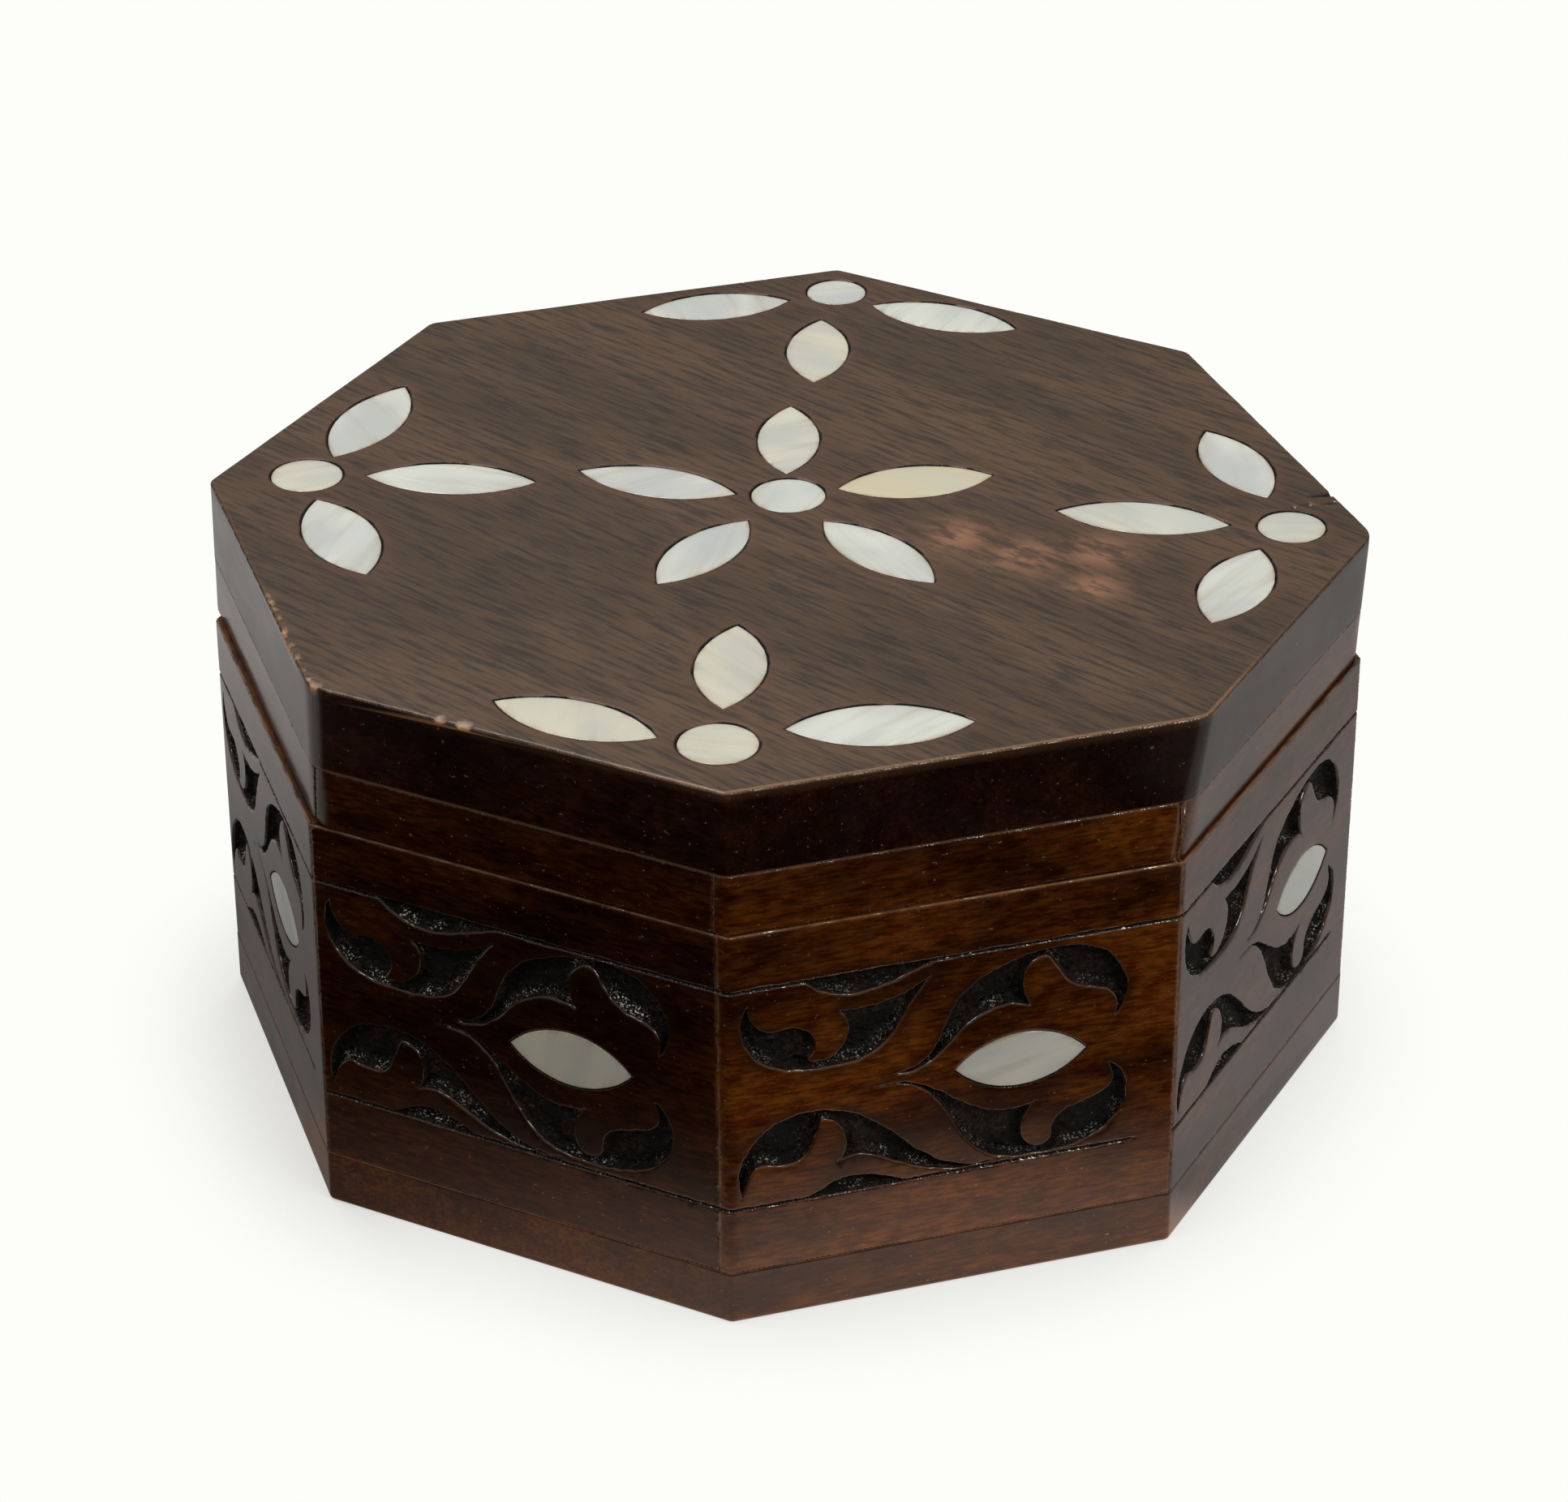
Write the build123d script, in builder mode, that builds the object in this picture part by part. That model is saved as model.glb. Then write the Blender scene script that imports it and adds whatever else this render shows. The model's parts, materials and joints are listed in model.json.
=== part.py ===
from build123d import *
from math import atan2, cos, degrees, radians, sin, tan
import os

# An eight-sided walnut box, hand made: carved walls around a velvet-lined hollow, shell let into the walls
# and the lid, and a lid on a small brass butt hinge at the back. Millimetres, +Z up, front facing -Y.
# The origin is on the ground under the middle of the box.

# ---------------------------------------------------------------- driving dimensions
# Sides go counterclockwise seen from above. Each is a flat: azimuth of its outward normal in degrees and its
# distance from the middle. The box was planed by hand, so no two of them agree.
side_names = ["front", "front_right", "right", "back_right", "back", "back_left", "left", "front_left"]
base_flats = [
    (-90, 50.4), (-45, 50.2), (0, 50.2), (45, 50.1), (90, 50.7), (135, 49.9), (180, 50.7), (225, 50.5),
]
# The lid's sides lean a little: azimuth, distance at the seam, distance at the top.
lid_flats = [
    (-90, 50.0, 48.9), (-45, 49.8, 50.8), (2, 49.4, 49.4), (42, 50.1, 50.1),
    (90, 50.7, 50.7), (135, 51.0, 51.0), (180, 50.1, 49.9), (225, 50.2, 49.3),
]

base_top = 5.4  # the base board is this thick
seam = 40.3  # the walls end and the lid begins
rim_top = 45.9  # the lid's rim strips end and its board begins
lid_top = 53.8
cavity_reach = 43.3  # the hollow is a true octagon, this far across the flats from the middle
overshoot = 6.0  # blanks are cut this much too wide and trimmed to the outer form
blank_reach = max(distance for azimuth, distance in base_flats) + overshoot
upright = 0.9  # an edge is upright when its direction rises at least this much in 1

# Corner rounding, one for each corner, starting at the front left-hand corner.
lid_corner_radii = [0.9, 2.6, 3.6, 1.6, 1.0, 1.0, 1.2, 3.6]
base_corner_radius = 0.8
lid_arris = 0.6
base_arris = 0.5

# How far each glue line stands off its corner, along the side before it. The rest meet at the corner.
wall_glue_offset = {0: 1.2}
rim_glue_offset = {0: 1.2, 1: 1.4}

pocket_depth = 1.6
line_width = 0.36
line_depth = 0.5
upper_line_height = 34.75
lower_line_height = 12.05
lower_line_end = 17.4
line_margin = 0.9  # the lines stop this far from the rounded corners' edges
face_width = 41.5  # the pattern was drawn for a side of this width
pattern_middle = -0.3  # this point of the pattern stands at the middle of the side

inlay_thickness = 1.4
inlay_gap = 0.08
eye_length = 12.3
eye_width = 5.5
eye_place = (5.75, 22.8)

# The carver's hand: how far the right-hand half of the pattern, and then the eye alone, moved on each side.
drift = {
    "front": (0.0, 0.0), "front_right": (0.9, -0.2), "right": (0.2, 0.1), "back_right": (-0.3, 0.2),
    "back": (0.2, -0.1), "back_left": (-0.2, 0.1), "left": (-0.1, 0.3), "front_left": (-1.0, 0.5),
}
eye_drift = {"front_right": 1.6}

# The carved pattern, seen from outside: each pocket is a closed chain of strokes, and a stroke is a smooth
# curve through its points, or a straight line between two. Strokes meet at sharp corners.
upper_left_scroll = [
    [(-19.3, 33.3), (-20.0, 30.4), (-18.3, 27.2), (-13.0, 25.5), (-7.2, 26.7), (-4.9, 30.0), (-1.4, 34.2)],
    [(-1.4, 34.2), (-6.3, 31.5), (-11.2, 31.2)],
    [(-11.2, 31.2), (-10.3, 28.6), (-12.0, 26.5), (-13.9, 26.6)],
    [(-13.9, 26.6), (-13.3, 28.6), (-15.3, 30.2), (-17.4, 30.1), (-18.8, 31.2), (-19.3, 33.3)],
]
lower_left_scroll = [
    [(-19.9, 13.3), (-20.2, 16.0), (-17.4, 20.2), (-12.4, 21.1), (-8.6, 19.6), (-4.6, 16.0), (3.8, 12.7)],
    [(3.8, 12.7), (-1.4, 12.6), (-5.2, 14.0), (-8.4, 15.6), (-11.3, 15.3)],
    [(-11.3, 15.3), (-10.4, 17.4), (-11.2, 19.5), (-12.6, 20.1)],
    [(-12.6, 20.1), (-13.3, 18.4), (-14.4, 16.4), (-16.6, 16.0), (-18.5, 16.2), (-19.3, 15.2), (-19.9, 13.3)],
]
upper_right_scroll = [
    [
        (-6.0, 23.6), (-2.0, 26.2), (-0.3, 30.1), (3.6, 32.8), (8.6, 33.9), (12.7, 33.1), (15.3, 30.0),
        (14.4, 25.5),
    ],
    [
        (14.4, 25.5), (13.6, 28.6), (11.2, 29.4), (9.3, 31.2), (7.7, 33.1), (6.1, 32.0), (5.9, 30.0),
        (6.6, 28.2),
    ],
    [(6.6, 28.2), (4.0, 28.7), (1.0, 27.6), (-1.6, 25.0), (-6.0, 23.6)],
]
lower_right_scroll = [
    [(-8.0, 22.5), (-4.2, 22.3), (-1.4, 20.7), (1.4, 18.7), (4.8, 17.7), (7.4, 18.2)],
    [
        (7.4, 18.2), (6.2, 16.6), (6.0, 14.8), (7.2, 13.3), (8.6, 13.8), (8.9, 15.4), (10.4, 16.8),
        (14.0, 18.2), (14.0, 20.9),
    ],
    [
        (14.0, 20.9), (15.7, 18.8), (15.4, 15.8), (12.6, 13.2), (7.0, 12.4), (3.2, 13.1), (0.4, 15.8),
        (-1.6, 19.4), (-8.0, 22.5),
    ],
]
upper_sliver = [
    [(-1.8, 34.7), (-14.4, 34.7)],
    [(-14.4, 34.7), (-12.6, 33.4), (-9.8, 32.6), (-6.6, 33.1), (-1.8, 34.7)],
]
lower_sliver = [
    [(-14.2, 12.1), (-4.8, 12.1)],
    [(-4.8, 12.1), (-7.4, 13.3), (-10.2, 13.7), (-12.3, 13.0), (-14.2, 12.1)],
]

# Shell on the lid: a disc and its petals in each group. A disc is its centre and diameter; a petal is its
# inner tip, its outer tip and its width.
shell_groups = {
    "centre": (
        ((1.2, 2.6), 7.0),
        [
            ((2.4, 7.0), (7.3, 21.1), 6.0), ((6.1, 2.6), (20.9, 0.8), 6.6), ((2.7, -3.4), (8.5, -18.3), 6.1),
            ((-3.9, -1.1), (-15.5, -10.8), 6.0), ((-3.4, 4.4), (-16.0, 13.7), 6.1),
        ],
    ),
    "front": (
        ((-18.8, -40.6), 7.1),
        [
            ((-16.6, -34.9), (-10.9, -20.6), 6.5), ((-23.4, -38.0), (-35.1, -27.4), 6.4),
            ((-12.6, -39.9), (3.4, -43.6), 7.2),
        ],
    ),
    "right": (
        ((43.6, -17.9), 6.3),
        [
            ((38.3, -15.8), (24.1, -8.1), 6.4), ((43.8, -11.6), (43.7, 3.5), 6.1),
            ((39.1, -21.1), (29.5, -33.1), 6.5),
        ],
    ),
    "back": (
        ((19.9, 45.3), 6.0),
        [
            ((16.4, 39.4), (11.1, 25.6), 6.2), ((14.7, 44.9), (-0.3, 46.6), 6.2),
            ((22.4, 41.2), (34.3, 31.2), 6.2),
        ],
    ),
    "left": (
        ((-40.9, 20.6), 6.8),
        [
            ((-35.6, 18.9), (-20.6, 12.6), 6.4), ((-37.6, 23.7), (-27.4, 36.9), 6.4),
            ((-41.1, 15.4), (-40.2, -0.9), 6.8),
        ],
    ),
}

# Brass butt hinge, its leaves let into the wall below and the rim above. Its axis lies on the seam, just
# inside the back, and the edges behind it are bevelled, which stops the lid a little past upright.
hinge_inset = 1.2  # from the back flat to the axis
hinge_y = base_flats[side_names.index("back")][1] - hinge_inset
bevel_angle = 50.5  # each edge, from the seam: together they open to 101 degrees
hinge_length = 24.0
knuckle_count = 5
knuckle_radius = 1.5
knuckle_gap = 0.15
knuckle_clearance = 0.25
pin_radius = 0.75
pin_clearance = 0.05
pin_end = 0.3  # the pin stands out this far at each end
barrel_room = 0.6  # the cut for the knuckles runs past them this far at each end
leaf_inner_y = 44.9
leaf_gap = 0.1  # between a leaf and the bed it is let into
leaf_thickness = 0.8
leaf_below_seam = 0.05
screw_x = 7.5
screw_y = 46.4
screw_radius = 0.6
screw_head_radius = 1.2
screw_head_height = 0.6
screw_length = 4.0
screw_slot = 0.3
slot_length = 3.6  # past both sides of the head
pilot_spare = 0.6  # the pilot hole is this much deeper than the screw
screw_clearance = 0.03

# Velvet on card: a strip around the walls, a pad on the floor and a pad under the lid.
lining_thickness = 0.8
lining_below_seam = 1.5
floor_pad_thickness = 2.0
lid_pad_thickness = 1.3
lining_gap = 0.1  # between the lining and the wood, and between the floor pad and the lining

os.makedirs("parts", exist_ok=True)


# ---------------------------------------------------------------- plan geometry
def meet(first, second):
    """The point where two flats, each an azimuth and a distance, cross in plan."""
    a = radians(first[0])
    b = radians(second[0])
    spread = sin(b - a)
    return (
        (first[1] * sin(b) - second[1] * sin(a)) / spread,
        (second[1] * cos(a) - first[1] * cos(b)) / spread,
    )


def plan_corners(flats):
    """The eight corners, corner i being where side i begins."""
    return [meet(flats[i - 1], flats[i]) for i in range(8)]


def octagon(reach):
    """The corners of a true octagon, in the same order."""
    return plan_corners([(-90 + 45 * i, reach) for i in range(8)])


def flat_plane(azimuth, low_reach, low_z, high_reach, high_z):
    """The plane of a side that may lean, facing outward."""
    out = Vector(cos(radians(azimuth)), sin(radians(azimuth)), 0)
    up_the_side = out * (high_reach - low_reach) + Vector(0, 0, high_z - low_z)
    along = Vector(0, 0, 1).cross(out)
    return Plane(origin=out * low_reach + Vector(0, 0, low_z), x_dir=along, z_dir=along.cross(up_the_side))


def toward(start, end, distance):
    """The point that lies this far from start on the way to end."""
    way = Vector(*end) - Vector(*start)
    point = Vector(*start) + way.normalized() * distance
    return (point.X, point.Y)


def glue_rays(corners, offsets):
    """For each corner, the inner and the outer end of the glue line, the outer one beyond the side."""
    rays = []
    for i, inner in enumerate(octagon(cavity_reach)):
        on_side = toward(corners[i], corners[i - 1], offsets.get(i, 0.0))
        length = (Vector(*on_side) - Vector(*inner)).length
        rays.append((inner, toward(inner, on_side, length + overshoot)))
    return rays


def stave_plan(rays, i):
    """The plan of the piece on side i, too wide on the outside."""
    inner_start, outer_start = rays[i]
    inner_end, outer_end = rays[(i + 1) % 8]
    return [inner_start, outer_start, outer_end, inner_end]


def write(builder, name):
    builder.part.label = name
    export_step(builder.part, f"parts/{name}.step")


# ---------------------------------------------------------------- outer forms
def prism(corners, low, high):
    """Adds a prism on these plan corners to the part in hand."""
    with BuildSketch(Plane.XY.offset(low)) as plan:
        Polygon(*corners, align=None)
    extrude(plan.sketch, amount=high - low)


def round_corner(builder, corner, height, radius):
    """Rounds the upright edge that is nearest to a corner."""
    middle = Vector(corner[0], corner[1], height)
    uprights = builder.edges().filter_by(lambda edge: abs(edge.tangent_at(0.5).Z) > upright)
    fillet(uprights.sort_by(lambda edge: (edge.center() - middle).length)[0], radius)


base_corners = plan_corners(base_flats)
lid_middle_flats = [(azimuth, (low + high) / 2) for azimuth, low, high in lid_flats]
lid_corners = plan_corners(lid_middle_flats)

with BuildPart() as base_form:
    prism(base_corners, 0, seam)
    for corner in base_corners:
        round_corner(base_form, corner, seam / 2, base_corner_radius)
    fillet(base_form.faces().sort_by(Axis.Z)[0].edges(), base_arris)

with BuildPart() as lid_form:
    prism(octagon(blank_reach), seam, lid_top)
    for azimuth, low, high in lid_flats:
        split(bisect_by=flat_plane(azimuth, low, seam, high, lid_top), keep=Keep.BOTTOM)
    for corner, radius in zip(lid_corners, lid_corner_radii):
        round_corner(lid_form, corner, (seam + lid_top) / 2, radius)
    fillet(lid_form.faces().sort_by(Axis.Z)[-1].edges(), lid_arris)


# ---------------------------------------------------------------- shell inlay outlines
def petal_outline(middle, length, width, angle, grow=0.0):
    """Adds a leaf with two points to the sketch in hand, grown all round by its fitting gap."""
    half = Vector(length / 2 + grow, 0).rotate(Axis.Z, angle)
    swell = Vector(0, width / 2 + grow).rotate(Axis.Z, angle)
    centre = Vector(*middle)
    with BuildLine() as outline:
        ThreePointArc(centre - half, centre + swell, centre + half)
        ThreePointArc(centre + half, centre - swell, centre - half)
    make_face(outline.edges())


def petal_pose(inner, outer):
    """A petal's middle, length and angle from its two tips."""
    span = Vector(*outer) - Vector(*inner)
    middle = (Vector(*outer) + Vector(*inner)) * 0.5
    return (middle.X, middle.Y), span.length, degrees(atan2(span.Y, span.X))


def disc_outline(centre, diameter, grow=0.0):
    with Locations(centre):
        Circle(diameter / 2 + grow)


# ---------------------------------------------------------------- carved walls
def side_plane(i):
    """The outer face of wall i, seen from outside: x right, y up, origin on the ground at its middle."""
    start = Vector(*base_corners[i])
    end = Vector(*base_corners[(i + 1) % 8])
    azimuth = radians(base_flats[i][0])
    return Plane(origin=(start + end) * 0.5, x_dir=end - start, z_dir=(cos(azimuth), sin(azimuth), 0))


def side_width(i):
    return (Vector(*base_corners[(i + 1) % 8]) - Vector(*base_corners[i])).length


def pattern_point(point, moved, scale):
    """A point of the pattern on the side's plane."""
    across = (point[0] - pattern_middle) * scale + moved[0]
    return (across, point[1] + moved[1])


def carve_pocket(plane, strokes, moved, scale):
    """Cuts one pocket into the part in hand."""
    with BuildSketch(plane) as pocket:
        with BuildLine():
            for stroke in strokes:
                points = [pattern_point(point, moved, scale) for point in stroke]
                if len(points) == 2:
                    Line(*points)
                else:
                    Spline(*points)
        make_face()
    extrude(pocket.sketch, amount=-pocket_depth, mode=Mode.SUBTRACT)


def scribe_line(plane, start, end, height):
    """Cuts one straight scribed line into the part in hand."""
    with BuildSketch(plane) as line:
        with Locations(((start + end) / 2, height)):
            Rectangle(end - start, line_width)
    extrude(line.sketch, amount=-line_depth, mode=Mode.SUBTRACT)


def hinge_bevel(direction):
    """Cuts the edge behind the hinge axis back, upward from the seam with 1 and downward with -1."""
    reach = hinge_inset + overshoot
    with BuildSketch(Plane.YZ.offset(-face_width)) as wedge:
        Polygon(
            (hinge_y, seam),
            (hinge_y + reach, seam),
            (hinge_y + reach, seam + direction * reach * tan(radians(bevel_angle))),
            align=None,
        )
    extrude(wedge.sketch, amount=2 * face_width, mode=Mode.SUBTRACT)


def hinge_mortise(direction):
    """Cuts the room for one leaf, its screws and the knuckles."""
    deep = leaf_below_seam + leaf_thickness
    front = leaf_inner_y - leaf_gap
    with BuildSketch(Plane.XY.offset(seam)) as bed:
        with Locations((0, (front + hinge_y) / 2)):
            Rectangle(hinge_length + 2 * leaf_gap, hinge_y - front)
    extrude(bed.sketch, amount=direction * deep, mode=Mode.SUBTRACT)
    with BuildSketch(Plane.YZ.offset(-hinge_length / 2 - barrel_room)) as barrel:
        with Locations((hinge_y, seam)):
            Circle(knuckle_radius + knuckle_clearance)
    extrude(barrel.sketch, amount=hinge_length + 2 * barrel_room, mode=Mode.SUBTRACT)
    with BuildSketch(Plane.XY.offset(seam)) as pilots:
        with Locations((-screw_x, screw_y), (screw_x, screw_y)):
            Circle(screw_radius + screw_clearance)
    extrude(pilots.sketch, amount=direction * (screw_length + pilot_spare), mode=Mode.SUBTRACT)


wall_rays = glue_rays(base_corners, wall_glue_offset)
for i, side in enumerate(side_names):
    plane = side_plane(i)
    scale = side_width(i) / face_width
    half = side_width(i) / 2
    eye_across, eye_up = pattern_point(eye_place, drift[side], scale)
    eye_middle = (eye_across + eye_drift.get(side, 0.0), eye_up)

    with BuildPart() as wall:
        prism(stave_plan(wall_rays, i), base_top, seam)
        add(base_form.part, mode=Mode.INTERSECT)
        for strokes in (upper_left_scroll, lower_left_scroll, upper_sliver, lower_sliver):
            carve_pocket(plane, strokes, (0.0, 0.0), scale)
        for strokes in (upper_right_scroll, lower_right_scroll):
            carve_pocket(plane, strokes, drift[side], scale)
        scribe_line(plane, line_margin - half, half - line_margin, upper_line_height)
        scribe_line(plane, line_margin - half, lower_line_end * scale, lower_line_height)
        with BuildSketch(plane):
            petal_outline(eye_middle, eye_length, eye_width, 0.0, inlay_gap)
        extrude(amount=-inlay_thickness, mode=Mode.SUBTRACT)
        if side.startswith("back"):
            hinge_bevel(-1)
        if side == "back":
            hinge_mortise(-1)
    write(wall, f"wall_{side}")

    with BuildPart() as eye:
        with BuildSketch(plane):
            petal_outline(eye_middle, eye_length, eye_width, 0.0)
        extrude(amount=-inlay_thickness)
    write(eye, f"shell_eye_{side}")

with BuildPart() as base_board:
    prism(base_corners, 0, base_top)
    add(base_form.part, mode=Mode.INTERSECT)
write(base_board, "base_board")

# ---------------------------------------------------------------- lid
rim_rays = glue_rays(lid_corners, rim_glue_offset)
for i, side in enumerate(side_names):
    with BuildPart() as rim:
        prism(stave_plan(rim_rays, i), seam, rim_top)
        add(lid_form.part, mode=Mode.INTERSECT)
        if side.startswith("back"):
            hinge_bevel(1)
        if side == "back":
            hinge_mortise(1)
    write(rim, f"rim_{side}")

with BuildPart() as lid_board:
    prism(octagon(blank_reach), rim_top, lid_top)
    add(lid_form.part, mode=Mode.INTERSECT)
    with BuildSketch(Plane.XY.offset(lid_top)):
        for disc, petals in shell_groups.values():
            disc_outline(*disc, grow=inlay_gap)
            for inner, outer, width in petals:
                middle, length, angle = petal_pose(inner, outer)
                petal_outline(middle, length, width, angle, inlay_gap)
    extrude(amount=-inlay_thickness, mode=Mode.SUBTRACT)
write(lid_board, "lid_board")

for group, (disc, petals) in shell_groups.items():
    with BuildPart() as shell_disc:
        with BuildSketch(Plane.XY.offset(lid_top - inlay_thickness)):
            disc_outline(*disc)
        extrude(amount=inlay_thickness)
    write(shell_disc, f"shell_{group}_disc")

    for number, (inner, outer, width) in enumerate(petals, start=1):
        middle, length, angle = petal_pose(inner, outer)
        with BuildPart() as petal:
            with BuildSketch(Plane.XY.offset(lid_top - inlay_thickness)):
                petal_outline(middle, length, width, angle)
            extrude(amount=inlay_thickness)
        write(petal, f"shell_{group}_petal_{number}")

# ---------------------------------------------------------------- hinge
knuckle_pitch = hinge_length / knuckle_count
knuckle_length = knuckle_pitch - knuckle_gap
plate_back = hinge_y - knuckle_radius - knuckle_clearance


def knuckle_middle(k):
    return (k + 0.5) * knuckle_pitch - hinge_length / 2


def leaf(direction, knuckles):
    """Adds one hinge leaf to the part in hand: its plate, its knuckles and the webs between."""
    outer_z = seam + direction * leaf_below_seam
    with BuildSketch(Plane.XY.offset(outer_z)) as plate:
        with Locations((0, (leaf_inner_y + plate_back) / 2)):
            Rectangle(hinge_length, plate_back - leaf_inner_y)
        for k in knuckles:
            with Locations((knuckle_middle(k), (plate_back + hinge_y) / 2)):
                Rectangle(knuckle_length, hinge_y - plate_back)
    extrude(plate.sketch, amount=direction * leaf_thickness)
    for k in knuckles:
        with BuildSketch(Plane.YZ.offset(knuckle_middle(k) - knuckle_length / 2)) as knuckle:
            with Locations((hinge_y, seam)):
                Circle(knuckle_radius)
        extrude(knuckle.sketch, amount=knuckle_length)
    with BuildSketch(Plane.YZ.offset(-hinge_length / 2)) as bore:
        with Locations((hinge_y, seam)):
            Circle(pin_radius + pin_clearance)
    extrude(bore.sketch, amount=hinge_length, mode=Mode.SUBTRACT)
    screws(direction, screw_clearance, Mode.SUBTRACT)


def screws(direction, grow, mode=Mode.ADD):
    """The two countersunk screws of a leaf, grown when they cut their own holes."""
    top = seam + direction * leaf_below_seam
    for x in (-screw_x, screw_x):
        with BuildSketch(Plane(origin=(x, screw_y, top), x_dir=(1, 0, 0), z_dir=(0, -1, 0))) as profile:
            Polygon(
                (0, 0),
                (screw_head_radius + grow, 0),
                (screw_radius + grow, direction * screw_head_height),
                (screw_radius + grow, direction * (screw_length - screw_radius)),
                (0, direction * screw_length),
                align=None,
            )
        revolve(profile.sketch, axis=Axis((x, screw_y, top), (0, 0, 1)), mode=mode)


def screw_slots(direction):
    """Cuts the driver slots into the screws in hand."""
    with BuildSketch(Plane.XY.offset(seam + direction * leaf_below_seam)) as slots:
        with Locations((-screw_x, screw_y), (screw_x, screw_y)):
            Rectangle(slot_length, screw_slot)
    extrude(slots.sketch, amount=direction * screw_slot, mode=Mode.SUBTRACT)


lower_knuckles = range(0, knuckle_count, 2)
upper_knuckles = range(1, knuckle_count, 2)
for place, direction, knuckles in (("lower", -1, lower_knuckles), ("upper", 1, upper_knuckles)):
    with BuildPart() as hinge_leaf:
        leaf(direction, knuckles)
    write(hinge_leaf, f"hinge_leaf_{place}")

    with BuildPart() as hinge_screws:
        screws(direction, 0.0)
        screw_slots(direction)
    write(hinge_screws, f"hinge_screws_{place}")

with BuildPart() as hinge_pin:
    with BuildSketch(Plane.YZ.offset(-hinge_length / 2 - pin_end)):
        with Locations((hinge_y, seam)):
            Circle(pin_radius)
    extrude(amount=hinge_length + 2 * pin_end)
write(hinge_pin, "hinge_pin")

# ---------------------------------------------------------------- velvet
lining_reach = cavity_reach - lining_gap
with BuildPart() as wall_lining:
    prism(octagon(lining_reach), base_top, seam - lining_below_seam)
    with BuildSketch(Plane.XY.offset(base_top)):
        Polygon(*octagon(lining_reach - lining_thickness), align=None)
    extrude(amount=seam - base_top, mode=Mode.SUBTRACT)
write(wall_lining, "wall_lining")

with BuildPart() as floor_pad:
    prism(octagon(lining_reach - lining_thickness - lining_gap), base_top, base_top + floor_pad_thickness)
write(floor_pad, "floor_pad")

with BuildPart() as lid_pad:
    prism(octagon(lining_reach), rim_top - lid_pad_thickness, rim_top)
write(lid_pad, "lid_pad")
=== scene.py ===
import json
import math

import bmesh
import bpy
import numpy as np
from mathutils import Matrix, Vector, noise
from mathutils.geometry import delaunay_2d_cdt

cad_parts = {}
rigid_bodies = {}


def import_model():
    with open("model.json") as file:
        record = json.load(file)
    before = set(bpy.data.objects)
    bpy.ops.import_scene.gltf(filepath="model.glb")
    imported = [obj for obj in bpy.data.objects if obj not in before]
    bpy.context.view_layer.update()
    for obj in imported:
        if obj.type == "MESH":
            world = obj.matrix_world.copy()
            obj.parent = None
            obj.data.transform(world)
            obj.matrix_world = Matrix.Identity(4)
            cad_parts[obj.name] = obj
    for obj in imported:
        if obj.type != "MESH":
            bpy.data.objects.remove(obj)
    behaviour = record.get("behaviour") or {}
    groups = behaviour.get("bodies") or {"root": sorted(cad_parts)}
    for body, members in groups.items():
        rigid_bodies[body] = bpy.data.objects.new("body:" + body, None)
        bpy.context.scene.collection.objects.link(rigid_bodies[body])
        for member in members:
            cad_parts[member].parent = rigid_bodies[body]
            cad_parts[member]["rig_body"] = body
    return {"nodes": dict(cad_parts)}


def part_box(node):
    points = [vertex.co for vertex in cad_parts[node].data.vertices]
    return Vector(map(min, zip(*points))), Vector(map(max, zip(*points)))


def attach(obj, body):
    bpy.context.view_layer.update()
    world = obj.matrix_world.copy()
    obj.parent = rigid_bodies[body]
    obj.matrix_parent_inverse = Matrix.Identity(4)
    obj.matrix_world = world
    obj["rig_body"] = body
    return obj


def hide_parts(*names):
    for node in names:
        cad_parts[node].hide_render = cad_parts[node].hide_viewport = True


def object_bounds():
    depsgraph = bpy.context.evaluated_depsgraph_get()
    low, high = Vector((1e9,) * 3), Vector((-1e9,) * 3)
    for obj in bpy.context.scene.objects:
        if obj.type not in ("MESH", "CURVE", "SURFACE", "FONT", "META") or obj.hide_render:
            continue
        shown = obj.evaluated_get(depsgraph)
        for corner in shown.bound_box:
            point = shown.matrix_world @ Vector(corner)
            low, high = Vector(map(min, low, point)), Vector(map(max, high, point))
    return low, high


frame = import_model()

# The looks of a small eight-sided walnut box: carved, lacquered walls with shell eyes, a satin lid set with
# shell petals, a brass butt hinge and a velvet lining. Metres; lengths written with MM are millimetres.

MM = 0.001
RIGHT = Vector((1, 0, 0))
BACK = Vector((0, 1, 0))
UP = Vector((0, 0, 1))
SIDES = ["front", "front_right", "right", "back_right", "back", "back_left", "left", "front_left"]
PETALS = {"centre": 5, "front": 3, "right": 3, "back": 3, "left": 3}
cad_low, cad_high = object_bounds()
LID_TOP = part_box("lid_board")[1].z
RIM_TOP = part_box("lid_board")[0].z
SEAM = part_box("rim_front")[0].z
WALL_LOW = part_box("wall_front")[0].z
WALL_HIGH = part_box("wall_front")[1].z

# ---- camera
CAMERA_AZIMUTH = math.radians(-17.48)
CAMERA_ELEVATION = math.radians(29.63)
CAMERA_ROLL = math.radians(-0.16)
CAMERA_DISTANCE = 0.460
CAMERA_TARGET = Vector((0.0003, 0.0013, SEAM * 0.67))
CAMERA_LENS = 109.64


def add_camera():
    back = Vector((
        math.sin(CAMERA_AZIMUTH) * math.cos(CAMERA_ELEVATION),
        -math.cos(CAMERA_AZIMUTH) * math.cos(CAMERA_ELEVATION),
        math.sin(CAMERA_ELEVATION),
    ))
    data = bpy.data.cameras.new("camera")
    data.sensor_width = 36.0
    data.lens = CAMERA_LENS
    data.clip_start = 0.01
    data.clip_end = 50.0
    camera = add_object("camera", data)
    turn = (-back).to_track_quat("-Z", "Y").to_matrix().to_4x4()
    place = Matrix.Translation(CAMERA_TARGET + back * CAMERA_DISTANCE)
    camera.matrix_world = place @ turn @ Matrix.Rotation(CAMERA_ROLL, 4, "Z")
    bpy.context.scene.camera = camera


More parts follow.
